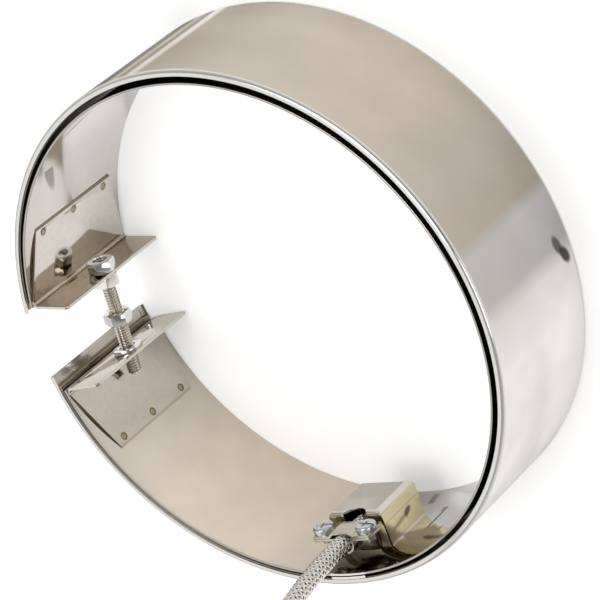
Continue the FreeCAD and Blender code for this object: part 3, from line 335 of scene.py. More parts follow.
line = bpy.data.curves.new("lead_line", "CURVE")
line.dimensions = "3D"
spline = line.splines.new("NURBS")
spline.points.add(len(LEAD_ROUTE) - 1)
for control, place in zip(spline.points, LEAD_ROUTE):
    control.co = (*from_box(*place), 1)
spline.order_u = 3
spline.use_endpoint_u = True
line.resolution_u = 24
lead_line = bpy.data.objects.new("lead_line", line)
bpy.context.scene.collection.objects.link(lead_line)
bpy.context.view_layer.update()
drawn = bpy.data.meshes.new_from_object(lead_line)
route = [vertex.co.copy() for vertex in drawn.vertices]
bpy.data.objects.remove(lead_line)
_, drawn_length = even_points(route, 1)
route, route_length = even_points(route, round(drawn_length / CROSSING * STEPS_PER_CROSSING))
lead = plait("lead_weave", route, route_length)
lead.data.materials.append(braid_wire)
lead.data.materials.append(braid_dark)
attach(lead, "heater")
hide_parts("lead_braid")

# The short stretch of the same braid that the clamp holds, up to the box's notch.
inner_run = (LEAD_EXIT_Z - LEAD_INNER_Z) * MM
entry_points, entry_length = even_points(
    [from_box(LEAD_OUT, 0, LEAD_EXIT_Z), from_box(LEAD_OUT, 0, LEAD_INNER_Z)],
    round(inner_run / CROSSING * STEPS_PER_CROSSING),
)
entry = plait("lead_weave_in_clamp", entry_points, entry_length)
entry.data.materials.append(braid_wire)
entry.data.materials.append(braid_dark)
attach(entry, "heater")
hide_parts("lead_entry")

# Shell of the ring. The sheath is one sheet of mirror-polished stainless steel, rolled to a ring,
# with both rims folded in over the cover. Its surface is bright and slightly wavy; its faintly warm tone is
# painted reflection.
RING_R, RING_W = 120.65 * MM, 69.85 * MM
SHEATH_T, HEM_BEND, HEM_W = 0.5 * MM, 1.7 * MM, 2.8 * MM
GAP_AZIMUTH = 44.5
SHEATH_END_A, SHEATH_END_B = 8.4, 6.9
SPIN_STEPS = 384
SMOOTH_UNDER = math.radians(35)


def away_from_axis(piece):
    """Whether most of a ring's faces point away from its axis."""
    away = sum(
        face.area * face.normal.to_2d().dot(face.center.to_2d()) for face in piece.data.polygons
    )
    return away > 0


def spun_line(name, profile, start, sweep, steps, closed=False):
    """An outline, given as (radius, height), spun round the ring's axis from an azimuth."""
    mesh = bpy.data.meshes.new(name)
    turn = Matrix.Rotation(math.radians(start), 3, "Z")
    count = len(profile)
    mesh.from_pydata(
        [turn @ Vector((r, 0, z)) for r, z in profile],
        [(k, (k + 1) % count) for k in range(count if closed else count - 1)],
        [],
    )
    piece = bpy.data.objects.new(name, mesh)
    bpy.context.scene.collection.objects.link(piece)
    only(piece)
    bpy.ops.object.mode_set(mode="EDIT")
    bpy.ops.mesh.select_all(action="SELECT")
    bpy.ops.mesh.spin(
        steps=steps, angle=-math.radians(sweep), center=(0, 0, 0), axis=(0, 0, 1)
    )
    if closed:
        bpy.ops.mesh.select_all(action="SELECT")
        bpy.ops.mesh.fill_holes(sides=count)
        bpy.ops.mesh.select_all(action="SELECT")
        bpy.ops.mesh.normals_make_consistent(inside=False)
    bpy.ops.object.mode_set(mode="OBJECT")
    return piece


def rolled_sheet(name, profile, start, sweep, thickness, steps):
    """A sheet whose outline, from rim to rim, is spun round the ring's axis and given its thickness."""
    piece = spun_line(name, profile, start, sweep, steps)
    wall = piece.modifiers.new("wall", "SOLIDIFY")
    wall.thickness = thickness
    wall.offset = -1 if away_from_axis(piece) else 1
    bpy.ops.object.modifier_apply(modifier=wall.name)
    bpy.ops.object.mode_set(mode="EDIT")
    bpy.ops.mesh.select_all(action="SELECT")
    bpy.ops.mesh.normals_make_consistent(inside=False)
    bpy.ops.object.mode_set(mode="OBJECT")
    return piece


def folded_rim(steps=8):
    """The sheath's section, from one folded rim round the outside to the other."""
    turns = [math.pi / 2 * k / steps for k in range(steps + 1)]
    low = [
        (RING_R - HEM_BEND * (1 - math.sin(a)), HEM_BEND * (1 - math.cos(a))) for a in turns
    ]
    high = [(r, RING_W - z) for r, z in reversed(low)]
    return [(RING_R - HEM_W, 0)] + low + high + [(RING_R - HEM_W, RING_W)]


def tone(red, green, blue):
    """A colour given as it looks on a screen, 0 to 255."""
    return tuple(
        c / 12.92 if c <= 0.04045 else ((c + 0.055) / 1.055) ** 2.4
        for c in (red / 255, green / 255, blue / 255)
    )


def new_group(name, values, vectors, results):
    """An empty node group with number and vector inputs and number results."""
    group = bpy.data.node_groups.new(name, "ShaderNodeTree")
    for label in vectors:
        group.interface.new_socket(label, in_out="INPUT", socket_type="NodeSocketVector")
    for label in values:
        group.interface.new_socket(label, in_out="INPUT", socket_type="NodeSocketFloat")
    for label in results:
        group.interface.new_socket(label, in_out="OUTPUT", socket_type="NodeSocketFloat")
    return group, group.nodes.new("NodeGroupInput"), group.nodes.new("NodeGroupOutput")


def calculate(tree, operation, *terms):
    """A maths node whose terms are numbers or sockets; returns its result."""
    step = tree.nodes.new("ShaderNodeMath")
    step.operation = operation
    for slot, term in enumerate(terms):
        if isinstance(term, (int, float)):
            step.inputs[slot].default_value = term
        else:
            tree.links.new(term, step.inputs[slot])
    return step.outputs[0]


def fade(tree, value, start, full):
    """Goes softly from 0 to 1 as a value goes from start to full, each a number or a socket."""
    step = tree.nodes.new("ShaderNodeMapRange")
    step.interpolation_type = "SMOOTHSTEP"
    tree.links.new(value, step.inputs["Value"])
    for label, term in (("From Min", start), ("From Max", full)):
        if isinstance(term, (int, float)):
            step.inputs[label].default_value = term
        else:
            tree.links.new(term, step.inputs[label])
    return step.outputs["Result"]


# Where a point lies on the ring: its azimuth from 0 to 360 degrees and its height in millimetres.
ring_place, given, result = new_group("ring_place", [], ["Point"], ["Azimuth", "Height"])
parts = ring_place.nodes.new("ShaderNodeSeparateXYZ")
ring_place.links.new(given.outputs["Point"], parts.inputs[0])
angle = calculate(ring_place, "ARCTAN2", parts.outputs["Y"], parts.outputs["X"])
degrees = calculate(ring_place, "MULTIPLY", angle, math.degrees(1))
positive = calculate(ring_place, "ADD", degrees, 360.0)
ring_place.links.new(calculate(ring_place, "MODULO", positive, 360.0), result.inputs["Azimuth"])
ring_place.links.new(
    calculate(ring_place, "MULTIPLY", parts.outputs["Z"], 1000.0), result.inputs["Height"]
)

# A soft patch on a surface, square or round: 1 inside, 0 outside. Reach and Rise are its half sizes
# along and across, and its middle leans along by Slant for each step across.
patch_group, given, result = new_group(
    "surface_patch",
    ["Along", "Across", "Middle", "Level", "Reach", "Rise", "Slant", "Softness", "Round"],
    [],
    ["Mask"],
)
off = calculate(patch_group, "SUBTRACT", given.outputs["Along"], given.outputs["Middle"])
up = calculate(patch_group, "SUBTRACT", given.outputs["Across"], given.outputs["Level"])
lean = calculate(patch_group, "MULTIPLY", up, given.outputs["Slant"])
off = calculate(patch_group, "ABSOLUTE", calculate(patch_group, "SUBTRACT", off, lean))
off = calculate(patch_group, "DIVIDE", off, given.outputs["Reach"])
up = calculate(patch_group, "DIVIDE", calculate(patch_group, "ABSOLUTE", up), given.outputs["Rise"])
square = calculate(patch_group, "MAXIMUM", off, up)
oval = calculate(
    patch_group,
    "SQRT",
    calculate(
        patch_group,
        "ADD",
        calculate(patch_group, "MULTIPLY", off, off),
        calculate(patch_group, "MULTIPLY", up, up),
    ),
)
kind = calculate(
    patch_group,
    "ADD",
    calculate(patch_group, "MULTIPLY", oval, given.outputs["Round"]),
    calculate(
        patch_group,
        "MULTIPLY",
        square,
        calculate(patch_group, "SUBTRACT", 1.0, given.outputs["Round"]),
    ),
)
outside = calculate(patch_group, "ADD", given.outputs["Softness"], 1.0)
inside = calculate(patch_group, "SUBTRACT", 1.0, given.outputs["Softness"])
patch_group.links.new(fade(patch_group, kind, outside, inside), result.inputs["Mask"])


def use_group(tree, group, **given):
    """Sets a node group into a material; inputs are numbers, vectors or sockets."""
    step = tree.nodes.new("ShaderNodeGroup")
    step.node_tree = group
    for label, term in given.items():
        if isinstance(term, bpy.types.NodeSocket):
            tree.links.new(term, step.inputs[label])
        else:
            step.inputs[label].default_value = term
    return step


def object_point(tree):
    """The material's object coordinates."""
    return next(n for n in tree.nodes if n.type == "TEX_COORD").outputs["Object"]


def paint_over(material, mask, colour, strength=1.0):
    """Lays a colour over what the metal has so far, where the mask is."""
    tree = material.node_tree
    target = tree.nodes["Principled BSDF"].inputs["Base Color"]
    blend = tree.nodes.new("ShaderNodeMix")
    blend.data_type = "RGBA"
    tree.links.new(target.links[0].from_socket, blend.inputs["A"])
    blend.inputs["B"].default_value = (*colour, 1)
    tree.links.new(calculate(tree, "MULTIPLY", mask, strength), blend.inputs["Factor"])
    tree.links.new(blend.outputs["Result"], target)


def ring_patch(
    material, colour, middle, level, reach, rise, slant=0.0, soft=0.2, strength=1.0, oval=0.0
):
    """A patch of another tone on the ring, in degrees round it and millimetres up."""
    tree = material.node_tree
    place = use_group(tree, ring_place, Point=object_point(tree))
    patch = use_group(
        tree,
        patch_group,
        Along=place.outputs["Azimuth"],
        Across=place.outputs["Height"],
        Middle=middle,
        Level=level,
        Reach=reach,
        Rise=rise,
        Slant=slant,
        Softness=soft,
        Round=oval,
    )
    paint_over(material, patch.outputs["Mask"], colour, strength)


# The rolled sheets have broad, shallow waves.
WAVE_SCALE, WAVE_HEIGHT = 22.0, 1.0 * MM


def banded_metal(name, bands, roughness, waves):
    """Polished sheet whose painted reflection changes tone softly round the ring; bands are (azimuth in
    degrees, tone).
    """
    material = sheen_metal(name, tone(*bands[0][1]), roughness, grain=(60, 60, 60))
    tree = material.node_tree
    place = use_group(tree, ring_place, Point=object_point(tree))
    ramp = tree.nodes.new("ShaderNodeValToRGB")
    tree.links.new(
        calculate(tree, "DIVIDE", place.outputs["Azimuth"], 360.0), ramp.inputs["Fac"]
    )
    elements = ramp.color_ramp.elements
    while len(elements) < len(bands):
        elements.new(0.5)
    for element, (azimuth, colour) in zip(elements, bands):
        element.position = azimuth / 360
        element.color = (*tone(*colour), 1)
    tree.links.new(ramp.outputs["Color"], tree.nodes["Shade"].inputs["Color"])
    swell = tree.nodes.new("ShaderNodeTexNoise")
    swell.inputs["Scale"].default_value = WAVE_SCALE
    swell.inputs["Detail"].default_value = 1.0
    tree.links.new(object_point(tree), swell.inputs["Vector"])
    relief = tree.nodes.new("ShaderNodeBump")
    relief.inputs["Strength"].default_value = waves
    relief.inputs["Distance"].default_value = WAVE_HEIGHT
    tree.links.new(swell.outputs["Fac"], relief.inputs["Height"])
    tree.links.new(relief.outputs["Normal"], tree.nodes["Principled BSDF"].inputs["Normal"])
    return material


sheath = rolled_sheet(
    "polished_sheath",
    folded_rim(),
    GAP_AZIMUTH + SHEATH_END_B,
    360 - SHEATH_END_A - SHEATH_END_B,
    SHEATH_T,
    SPIN_STEPS,
)
bpy.ops.object.shade_smooth_by_angle(angle=SMOOTH_UNDER)
ALL_ROUND = 400
# Painted reflection round the sheath, band by band: brightest from 185 to 212 degrees, with a painted
# highlight near 320 and a dark painted reflection near 330.
SHEATH_REFLECTION_BANDS = [
    (0, (228, 226, 223)),
    (30, (205, 202, 198)),
    (80, (206, 200, 190)),
    (150, (205, 202, 198)),
    (185, (246, 244, 244)),
    (212, (246, 244, 244)),
    (222.5, (226, 223, 221)),
    (226.5, (184, 182, 181)),
    (237.5, (192, 190, 189)),
    (237.8, (174, 165, 150)),
    (250, (184, 177, 166)),
    (270, (204, 192, 178)),
    (286, (208, 198, 185)),
    (300, (210, 203, 193)),
    (310, (212, 206, 197)),
    (316, (212, 206, 197)),
    (318.5, (210, 204, 195)),
    (319.4, (255, 252, 250)),
    (320.8, (255, 252, 248)),
    (321.6, (198, 196, 190)),
    (323.4, (196, 189, 178)),
    (325, (236, 232, 226)),
    (326.8, (182, 174, 160)),
    (328, (128, 112, 86)),
    (329.5, (78, 60, 34)),
    (332, (84, 66, 40)),
    (334, (130, 118, 98)),
    (338, (200, 196, 190)),
    (359.9, (228, 226, 223)),
]
sheath_steel = banded_metal("sheath_steel", SHEATH_REFLECTION_BANDS, 0.16, 0.05)
# A painted darker reflection lies over the wall towards its upper rim; two dark spots lie low beside the
# bright part.
ring_patch(sheath_steel, tone(168, 160, 148), 270, 64, 80, 32, soft=0.5, strength=0.32)
ring_patch(sheath_steel, tone(92, 88, 86), 226.1, 10.2, 1.9, 2.6, 0.25, 0.35, 0.85, 1.0)
ring_patch(sheath_steel, tone(70, 66, 64), 223.4, 7.0, 1.7, 3.0, 0.25, 0.35, 0.9, 1.0)
# A painted highlight along the folded rims, which catch more light than the wall.
for level in (0.0, RING_W / MM):
    ring_patch(sheath_steel, tone(214, 211, 207), 180, level, ALL_ROUND, 1.5, soft=0.25)
# Seen at a low angle, the polish keeps the tones of its bands.
shader = sheath_steel.node_tree.nodes["Principled BSDF"]
sheath_steel.node_tree.links.new(
    shader.inputs["Base Color"].links[0].from_socket, shader.inputs["Specular Tint"]
)
sheath.data.materials.append(sheath_steel)
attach(sheath, "heater")
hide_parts("outer_sheath")

# Expansion strap. The springy band inside the shell that carries the lugs and the terminal box; a window
# lies under the box, and a small tab at each rim hooks over the cover.
STRAP_R, STRAP_T = 115.5 * MM, 1.0 * MM
STRAP_END = 10.2
STRAP_STEPS, TAB_STEPS = 340, 12
TAB_AZIMUTH, TAB_SPAN, TAB_T, TAB_REACH = 137.0, 9.0, 0.45 * MM, 0.8 * MM
WINDOW_W, WINDOW_L, WINDOW_DEEP = 27.0 * MM, 15.0 * MM, 12.0 * MM
WINDOW_OUT, WINDOW_Z = 116, 29.925
STRAP_EDGE, STRAP_EDGE_OVER = 0.15 * MM, math.radians(50)
# Painted reflection round the strap, band by band: darkest near 55 and 133 degrees, brightest from 148 to
# 156 and near 347.
STRAP_REFLECTION_BANDS = [
    (0, (226, 222, 220)),
    (20, (218, 211, 206)),
    (34, (206, 198, 188)),
    (55, (186, 179, 168)),
    (72, (196, 188, 176)),
    (88, (214, 201, 185)),
    (112, (214, 200, 184)),
    (124, (200, 190, 176)),
    (133, (180, 172, 160)),
    (142, (200, 196, 192)),
    (148, (244, 242, 242)),
    (156, (255, 254, 254)),
    (200, (214, 210, 204)),
    (330, (230, 227, 224)),
    (347, (252, 250, 250)),
    (359.9, (226, 222, 220)),
]
strap = rolled_sheet(
    "polished_strap",
    [(STRAP_R, RING_W), (STRAP_R, 0)],
    GAP_AZIMUTH + STRAP_END,
    360 - 2 * STRAP_END,
    STRAP_T,
    STRAP_STEPS,
)
bpy.ops.mesh.primitive_cube_add(size=1, location=from_box(WINDOW_OUT, 0, WINDOW_Z))
cutter = bpy.context.object
cutter.rotation_euler = (0, 0, BOX_AZIMUTH)
cutter.scale = (WINDOW_DEEP, WINDOW_W, WINDOW_L)
bpy.context.view_layer.update()
strap.data.transform(Matrix.Translation(STRAP_SHIFT))
only(strap)
opening = strap.modifiers.new("opening", "BOOLEAN")
opening.object = cutter
opening.solver = "EXACT"
bpy.ops.object.modifier_apply(modifier=opening.name)
bpy.data.objects.remove(cutter)
tabs = []
for low in (0.0, RING_W - TAB_T):
    inner, outer = STRAP_R + STRAP_T / 2, STRAP_R + STRAP_T + TAB_REACH
    tab = spun_line(
        "tab",
        [(inner, low), (outer, low), (outer, low + TAB_T), (inner, low + TAB_T)],
        TAB_AZIMUTH - TAB_SPAN / 2,
        TAB_SPAN,
        TAB_STEPS,
        closed=True,
    )
    tab.data.transform(Matrix.Translation(STRAP_SHIFT))
    tabs.append(tab)
only(strap)
for tab in tabs:
    tab.select_set(True)
bpy.ops.object.join()
only(strap)
edges = strap.modifiers.new("edges", "BEVEL")
edges.width = STRAP_EDGE
edges.segments = 2
edges.angle_limit = STRAP_EDGE_OVER
bpy.ops.object.modifier_apply(modifier=edges.name)
bpy.ops.object.shade_smooth_by_angle(angle=SMOOTH_UNDER)
strap_steel = banded_metal("strap_steel", STRAP_REFLECTION_BANDS, 0.09, 0.05)
# Marks, painted shades and painted shadows of the strap, each laid over the ones before it: tone, azimuth,
# height, half sizes, slant, softness, strength, and 1 where it is oval.
for colour, *patch in (
    # Two dark blade-shaped marks high on the far side.
    ((150, 142, 132), 0.5, 60.5, 2.6, 9.0, -0.8, 0.25, 0.85, 1.0),
    ((120, 112, 104), 345.5, 57.5, 1.6, 5.5, 0.55, 0.4, 0.7, 1.0),
    # The brown shade under the lead, with its darkest part, and the paler one beside the box.
    ((84, 70, 56), 137.5, 60.0, 9.3, 9.6, 0.0, 0.10, 0.92),
    ((44, 34, 30), 138.5, 62.5, 6.5, 5.5, 0.3, 0.5, 0.8, 1.0),
    ((150, 138, 122), 151.0, 59.5, 7.0, 16, 0.10, 0.12, 0.95),
    # Painted shadow lines under the box's end wall and beyond its foot.
    ((24, 18, 16), 135.6, 49.6, 7.6, 0.75),
    ((24, 18, 16), 148.85, 34.9, 0.45, 13.0, 0.0, 0.3),
    # A grey painted shade beyond the foot, painted shadow at the foot's lower corner, and a mark below the
    # box.
    ((140, 130, 136), 156.0, 57.0, 5.0, 20, 0.5, 0.12, 0.95),
    ((60, 48, 42), 148.3, 21.5, 0.8, 1.6, 0.0, 0.3, 0.9),
    ((112, 102, 94), 140.6, 8.0, 0.8, 4.5, 0.1, 0.3, 0.85),
    # The upper edge all round, and the tabs.
    ((172, 166, 161), 180, 69.8, ALL_ROUND, 0.3),
    ((222, 219, 215), TAB_AZIMUTH, 70.0, 4.7, 0.75, 0.0, 0.1),
):
    ring_patch(strap_steel, tone(*colour), *patch)
strap.data.materials.append(strap_steel)
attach(strap, "heater")
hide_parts("expansion_strap")

# Inner parts of the shell: the bright cover that closes it, and the pressed mica bands with the resistance
# ribbon between them, held by the sheath's folded rims. They show only at the open ends.
def matt_material(name, colour, roughness, bump=0.0, grain=(400, 400, 400)):
    """The same wandering tone and grain on something that isn't metal."""
    material = sheen_metal(name, colour, roughness, bump, grain)
    material.node_tree.nodes["Principled BSDF"].inputs["Metallic"].default_value = 0.0
    return material


cover_steel = sheen_metal("cover_steel", tone(150, 142, 128), 0.2)
mica = matt_material("pressed_mica", tone(176, 158, 124), 0.6)
ribbon_alloy = sheen_metal("ribbon_alloy", tone(150, 148, 142), 0.3)


def finish_node(name, material):
    """Gives a CAD node its material."""
    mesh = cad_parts[name].data
    mesh.materials.clear()
    mesh.materials.append(material)


finish_node("inner_cover", cover_steel)
for name in ("outer_mica", "winding_mica", "inner_mica"):
    finish_node(name, mica)
finish_node("resistance_ribbon", ribbon_alloy)

# Lugs. Bent stainless sheet, mirror-bright, each held by three spot welds with a brown ring round them.
# Each face, edge and bend of the one steel gets its own tone of painted reflection and shade: the base's
# sheared edges are rough and painted dark as shade, the top, bottom and flange end painted light, and the
# bend is duller than the faces.
# LUG_TILT turns from the gap's middle to a base's length; LUG_ANGLE lies between base and flange.
LUG_TILT, LUG_ANGLE = 109.02, 75.7
# How squarely a face looks along a direction tells the sheet's faces from its edges and its bend.
FACE_ON, LEVEL_CUT, ALONG_SHEET = 0.99, 0.9, 0.12
SHEET_EDGE = 0.2 * MM
lug_flange_a = sheen_metal("lug_a_flange", tone(172, 159, 137), 0.07)
lug_base_a = sheen_metal("lug_a_base", tone(214, 208, 202), 0.09)
lug_flange_b = sheen_metal("lug_b_flange", tone(198, 191, 180), 0.10)
lug_base_b = sheen_metal("lug_b_base", tone(186, 179, 168), 0.12)
shaded_sheared_edge = sheen_metal("shaded_sheared_edge", tone(104, 92, 76), 0.4)
flange_edge = sheen_metal("flange_edge", tone(206, 201, 192), 0.3)
bend_a = sheen_metal("lug_a_bend", tone(196, 184, 162), 0.3)
bend_b = sheen_metal("lug_b_bend", tone(146, 135, 117), 0.32)
# Painted shade beside the sheared end of each base widens it to a brown line.
ring_patch(lug_base_a, tone(104, 90, 72), 16.75, 34.9, 0.3, 40, soft=0.3, strength=0.9)
ring_patch(lug_base_b, tone(150, 142, 128), 72.55, 34.9, 0.25, 40, soft=0.3, strength=0.5)
WELD_STAIN = tone(120, 100, 66)

# A ring-shaped mark about a point, from an inner to an outer radius in metres.
mark_group, given, result = new_group(
    "round_mark", ["Inner", "Outer", "Softness"], ["Point", "Centre"], ["Mask"]
)
far = mark_group.nodes.new("ShaderNodeVectorMath")
far.operation = "DISTANCE"
mark_group.links.new(given.outputs["Point"], far.inputs[0])
mark_group.links.new(given.outputs["Centre"], far.inputs[1])
far = far.outputs["Value"]
beyond = calculate(mark_group, "ADD", given.outputs["Outer"], given.outputs["Softness"])
before = calculate(mark_group, "SUBTRACT", given.outputs["Inner"], given.outputs["Softness"])
mark_group.links.new(
    calculate(
        mark_group,
        "MULTIPLY",
        fade(mark_group, far, beyond, given.outputs["Outer"]),
        fade(mark_group, far, before, given.outputs["Inner"]),
    ),
    result.inputs["Mask"],
)


def round_mark(material, colour, centre, inner, outer, soft, strength):
    """A ring or disc of another tone about a point; sizes in millimetres."""
    tree = material.node_tree
    mark = use_group(
        tree,
        mark_group,
        Point=object_point(tree),
        Centre=[c * MM for c in centre],
        Inner=inner * MM,
        Outer=outer * MM,
        Softness=soft * MM,
    )
    paint_over(material, mark.outputs["Mask"], colour, strength)


# How near two corners merge, how flat faces join, and over what angle an edge is rounded.
MERGE_NEAR, MERGE_BEFORE_CUT = 0.000002, 0.0000005
JOIN_UNDER, ROUND_OVER = math.radians(0.5), math.radians(38)


def soften_edges(piece, bevel):
    """Joins loose triangles into plain faces, rounds the sharp edges and smooths the shading."""
    only(piece)
    bpy.ops.object.mode_set(mode="EDIT")
    bpy.ops.mesh.select_all(action="SELECT")
    bpy.ops.mesh.remove_doubles(threshold=MERGE_NEAR)
    bpy.ops.mesh.dissolve_limited(angle_limit=JOIN_UNDER)
    bpy.ops.object.mode_set(mode="OBJECT")
    rounding = piece.modifiers.new("rounding", "BEVEL")
    rounding.width = bevel
    rounding.segments = 2
    rounding.angle_limit = ROUND_OVER
    bpy.ops.object.modifier_apply(modifier=rounding.name)
    bpy.ops.object.shade_smooth_by_angle(angle=SMOOTH_UNDER)


def refined(node, name, material, bevel, body="heater", ends=()):
    """A copy of a CAD node with rounded edges, which stands for it; ends are (place, outward) cuts."""
    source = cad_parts[node]
    piece = bpy.data.objects.new(name, source.data.copy())
    bpy.context.scene.collection.objects.link(piece)
    piece.data.materials.clear()
    piece.data.materials.append(material)
    for place, outward in ends:
        only(piece)
        bpy.ops.object.mode_set(mode="EDIT")
        bpy.ops.mesh.select_all(action="SELECT")
        bpy.ops.mesh.remove_doubles(threshold=MERGE_BEFORE_CUT)
        bpy.ops.mesh.bisect(plane_co=place, plane_no=outward, use_fill=True, clear_outer=True)
        bpy.ops.object.mode_set(mode="OBJECT")
    soften_edges(piece, bevel)
    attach(piece, body)
    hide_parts(node)
    return piece


# Each lug with its side of the gap, its metals, and the x and y of its line of welds.
for node, side, base_metal, flange_metal, bend_metal, weld in (
    ("lug_a", -1, lug_base_a, lug_flange_a, bend_a, (108.0, 35.73)),
    ("lug_b", 1, lug_base_b, lug_flange_b, bend_b, (36.97, 108.0)),
):
    for level in (12.53, 34.92, 57.33):
        centre = (*weld, level)
        round_mark(base_metal, WELD_STAIN, centre, 0.95, 1.75, 0.3, 0.9)
        round_mark(base_metal, tone(96, 84, 66), centre, 0.0, 0.45, 0.3, 0.7)
    lug = refined(node, f"polished_{node}", base_metal, SHEET_EDGE)
    for metal in (flange_metal, shaded_sheared_edge, flange_edge, bend_metal):
        lug.data.materials.append(metal)
    along_base = direction(GAP_AZIMUTH + side * LUG_TILT)
    along_flange = direction(GAP_AZIMUTH + side * (LUG_TILT + LUG_ANGLE))
    for face in lug.data.polygons:
        upright = abs(face.normal.z)
        on_base = abs(face.normal.dot(along_base))
        on_flange = abs(face.normal.dot(along_flange))
        if upright > FACE_ON or on_flange > FACE_ON:
            metal = flange_edge
        elif upright > LEVEL_CUT or on_base > FACE_ON:
            metal = shaded_sheared_edge
        elif on_flange < ALONG_SHEET:
            metal = flange_metal
        elif on_base > ALONG_SHEET:
            metal = bend_metal
        else:
            metal = base_metal
        face.material_index = lug.data.materials.find(metal.name)

# Expansion screw, bright plated steel: a stud threaded over its whole length, three nuts and a washer.
# The lock nuts hold the stud in one lug; the jack nut, turned along it, pushes the other lug away.
STUD_FROM = Vector((87.225, 51.785, 34.925)) * MM
STUD_ALONG = Vector((-0.639836, 0.768512, 0))
STUD_D, STUD_LENGTH = 6.35 * MM, 55.0 * MM
THREAD_PITCH, THREAD_DEEP, STUD_CHAMFER = 1.27 * MM, 0.72 * MM, 0.7 * MM
# Where the thread's flank starts and ends, as shares of the pitch.
FLANK_FOOT, FLANK_TOP = 0.9, 0.56
THREAD_STEPS = 28
TURNS_MEET, TURNS_MERGE = 0.000005, 0.000003
HEX_EDGE = 0.16 * MM
plated = sheen_metal("bright_plating", tone(226, 224, 222), 0.10)
screw_plating = sheen_metal("screw_plating", tone(196, 197, 198), 0.24)
thread_metal = sheen_metal("thread_plating", tone(206, 200, 190), 0.16)

crest, root = STUD_D / 2, STUD_D / 2 - THREAD_DEEP
mesh = bpy.data.meshes.new("thread")
mesh.from_pydata(
    [
        (root, 0, -THREAD_PITCH),
        (root, 0, -THREAD_PITCH * FLANK_FOOT),
        (crest, 0, -THREAD_PITCH * FLANK_TOP),
        (crest, 0, -THREAD_PITCH * (1 - FLANK_TOP)),
        (root, 0, -THREAD_PITCH * (1 - FLANK_FOOT)),
        (root, 0, 0),
    ],
    [(k, k + 1) for k in range(5)],
    [],
)
stud = bpy.data.objects.new("threaded_stud", mesh)
bpy.context.scene.collection.objects.link(stud)
only(stud)
winding = stud.modifiers.new("winding", "SCREW")
winding.axis = "Z"
winding.angle = math.tau
winding.screw_offset = THREAD_PITCH
winding.iterations = math.ceil(STUD_LENGTH / THREAD_PITCH) + 2
winding.steps = THREAD_STEPS
winding.render_steps = THREAD_STEPS
winding.use_merge_vertices = True
winding.merge_threshold = TURNS_MEET
bpy.ops.object.modifier_apply(modifier=winding.name)
bpy.ops.object.mode_set(mode="EDIT")
bpy.ops.mesh.select_all(action="SELECT")
bpy.ops.mesh.remove_doubles(threshold=TURNS_MERGE)
for height, facing in ((0.0, -1), (STUD_LENGTH, 1)):
    bpy.ops.mesh.select_all(action="SELECT")
    bpy.ops.mesh.bisect(
        plane_co=(0, 0, height),
        plane_no=(0, 0, facing),
        use_fill=True,
        clear_outer=True,
    )
bpy.ops.mesh.select_all(action="SELECT")
bpy.ops.mesh.normals_make_consistent(inside=False)
bpy.ops.object.mode_set(mode="OBJECT")
for vertex in stud.data.vertices:
    depth = min(vertex.co.z, STUD_LENGTH - vertex.co.z)
    allowed = crest - max(0.0, STUD_CHAMFER - depth)
    radius = vertex.co.to_2d().length
    if radius > allowed:
        vertex.co.x *= allowed / radius
        vertex.co.y *= allowed / radius
stud.data.transform(STUD_ALONG.to_track_quat("Z", "Y").to_matrix().to_4x4())
stud.data.transform(Matrix.Translation(STUD_FROM))
bpy.ops.object.shade_smooth_by_angle(angle=SMOOTH_UNDER)
stud.data.materials.append(thread_metal)
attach(stud, "heater")
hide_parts("expansion_stud")

for node, body in (
    ("lock_nut_outer", "heater"),
    ("lock_nut_inner", "heater"),
    ("jack_nut", "jack_nut"),
    ("jack_washer", "heater"),
):
    refined(node, f"plated_{node}", plated, HEX_EDGE, body)
for node in ("clamp_screw_left", "clamp_screw_right"):
    refined(node, f"plated_{node}", screw_plating, HEX_EDGE)
finish_node("lead_ferrule", plated)

# Terminal box. One folded sheet, its top dull silver and its side wall olive, both tones painted reflection;
# a dark spot and a thin darker line lie on the side wall, and brown rings round the welds on its feet.
box_steel = sheen_metal("box_steel", tone(173, 168, 159), 0.14)
tree = box_steel.node_tree
box_frame = tree.nodes.new("ShaderNodeMapping")
box_frame.inputs["Location"].default_value = Matrix.Rotation(-BOX_AZIMUTH, 3, "Z") @ -STRAP_SHIFT
box_frame.inputs["Rotation"].default_value = (0, 0, -BOX_AZIMUTH)
tree.links.new(object_point(tree), box_frame.inputs["Vector"])
apart = tree.nodes.new("ShaderNodeSeparateXYZ")
tree.links.new(box_frame.outputs["Vector"], apart.inputs[0])
out, beside, up = (calculate(tree, "MULTIPLY", apart.outputs[k], 1000.0) for k in range(3))


def box_patch(
    where, along, across, colour, middle, level, reach, rise, slant=0.0, soft=0.2, strength=1.0, oval=0.0
):
    """A patch on one of the box's walls, in millimetres along two of the box's own directions."""
    patch = use_group(
        tree,
        patch_group,
        Along=along,
        Across=across,
        Middle=middle,
        Level=level,
        Reach=reach,
        Rise=rise,
        Slant=slant,
        Softness=soft,
        Round=oval,
    )
    mask = calculate(tree, "MULTIPLY", patch.outputs["Mask"], where)
    paint_over(box_steel, mask, colour, strength)


# Where each wall lies: the top nearest to the ring's axis, the end wall above and the side wall beside.
top = fade(tree, out, 98.2, 97.6)
end_wall = fade(tree, up, 48.3, 48.7)
side_wall = fade(tree, beside, 13.7, 14.0)
# Top: painted highlights along its bends, a broad lighter painted reflection across it, and one speck.
box_patch(top, beside, up, tone(214, 206, 194), 12.4, 35, 2.0, 30, soft=0.35)
box_patch(top, beside, up, tone(206, 201, 192), 0, 47.6, 30, 1.6, soft=0.4)
box_patch(top, beside, up, tone(196, 191, 184), -3, 41, 9, 5, 0.5, 0.6, 0.7)
box_patch(top, beside, up, tone(110, 98, 80), 9.2, 23.6, 0.55, 0.45, 0.0, 0.5, 0.8, 1.0)
# End wall: a painted reflection tone, painted brown reflections low down, and painted shade in the open seam
# at its corner.
paint_over(box_steel, end_wall, tone(170, 158, 128))
box_patch(end_wall, beside, out, tone(96, 80, 52), 9.5, 108, 4.2, 5.0, 0.3, 0.6, 0.75, 1.0)
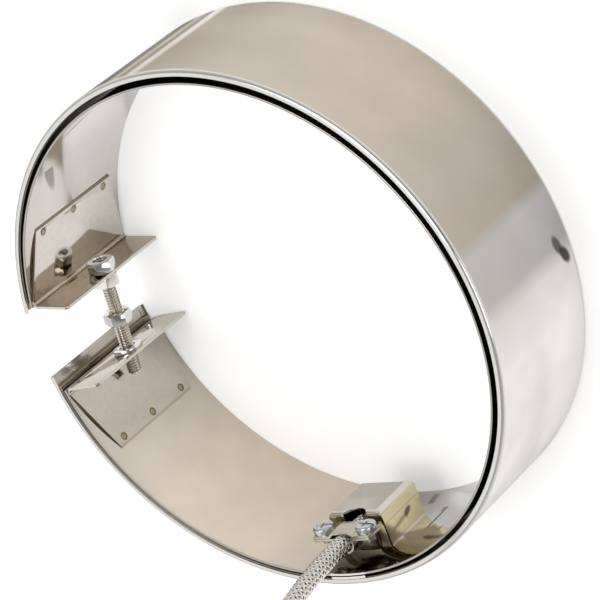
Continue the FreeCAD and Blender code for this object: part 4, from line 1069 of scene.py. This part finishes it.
# Side wall: an olive painted reflection, a dark spot, a thin darker line, and a painted highlight along its
# bend into the foot.
paint_over(box_steel, side_wall, tone(204, 192, 156))
box_patch(side_wall, up, out, tone(84, 76, 58), 31.5, 106.0, 2.4, 1.5, 0.5, 0.3, 0.9, 1.0)
box_patch(side_wall, up, out, tone(150, 138, 96), 36.0, 103.2, 14, 0.16, 0.0, 0.6, 0.8)
box_patch(side_wall, beside, out, tone(224, 218, 206), 14.5, 113.9, 0.75, 0.8, soft=0.4)
# Painted shade in the open seam at the end wall's corner.
box_patch(end_wall, beside, out, tone(28, 22, 18), 14.1, 107, 0.5, 8.0, soft=0.2)
for place in ((-67.73, 93.22), (-94.31, 66.07)):
    for level in (26.73, 34.92, 43.12):
        round_mark(box_steel, WELD_STAIN, (*place, level), 0.8, 1.7, 0.4, 0.9)
refined("terminal_box", "folded_box", box_steel, SHEET_EDGE)

# Lead clamp: a bracket with a saddle over the lead, both pressed from plain beige-grey sheet and drawn
# together by the two screws. Their bars end BAR_HALF mm to each side of the lead.
BAR_HALF = 14.9
clamp_steel = sheen_metal("clamp_steel", tone(188, 182, 168), 0.22)
along_bar = Matrix.Rotation(BOX_AZIMUTH, 3, "Z") @ Vector((0, 1, 0))
bar_ends = [(from_box(104, side * BAR_HALF, 60), side * along_bar) for side in (1, -1)]
refined("clamp_saddle", "pressed_saddle", clamp_steel, SHEET_EDGE, ends=bar_ends)
refined("clamp_bracket", "pressed_bracket", clamp_steel, SHEET_EDGE, ends=bar_ends)

# Inside the box: brass posts with their eyelets and nuts in steatite bushings, and glass-sleeved wires;
# at the lead's far end, two sleeved tails with tinned tips.
brass = sheen_metal("terminal_brass", tone(200, 170, 110), 0.2)
ceramic = matt_material("steatite", tone(226, 222, 210), 0.5)
sleeving = matt_material("glass_sleeving", tone(222, 216, 204), 0.7, 0.5, (900, 900, 900))
tinned = sheen_metal("tinned_strand", tone(200, 200, 200), 0.3)
for node in ("terminal_posts", "lead_eyelets", "terminal_nuts"):
    finish_node(node, brass)
finish_node("ceramic_bushings", ceramic)
for node in ("inner_wires", "lead_tail_a", "lead_tail_b"):
    finish_node(node, sleeving)
finish_node("tinned_tips", tinned)
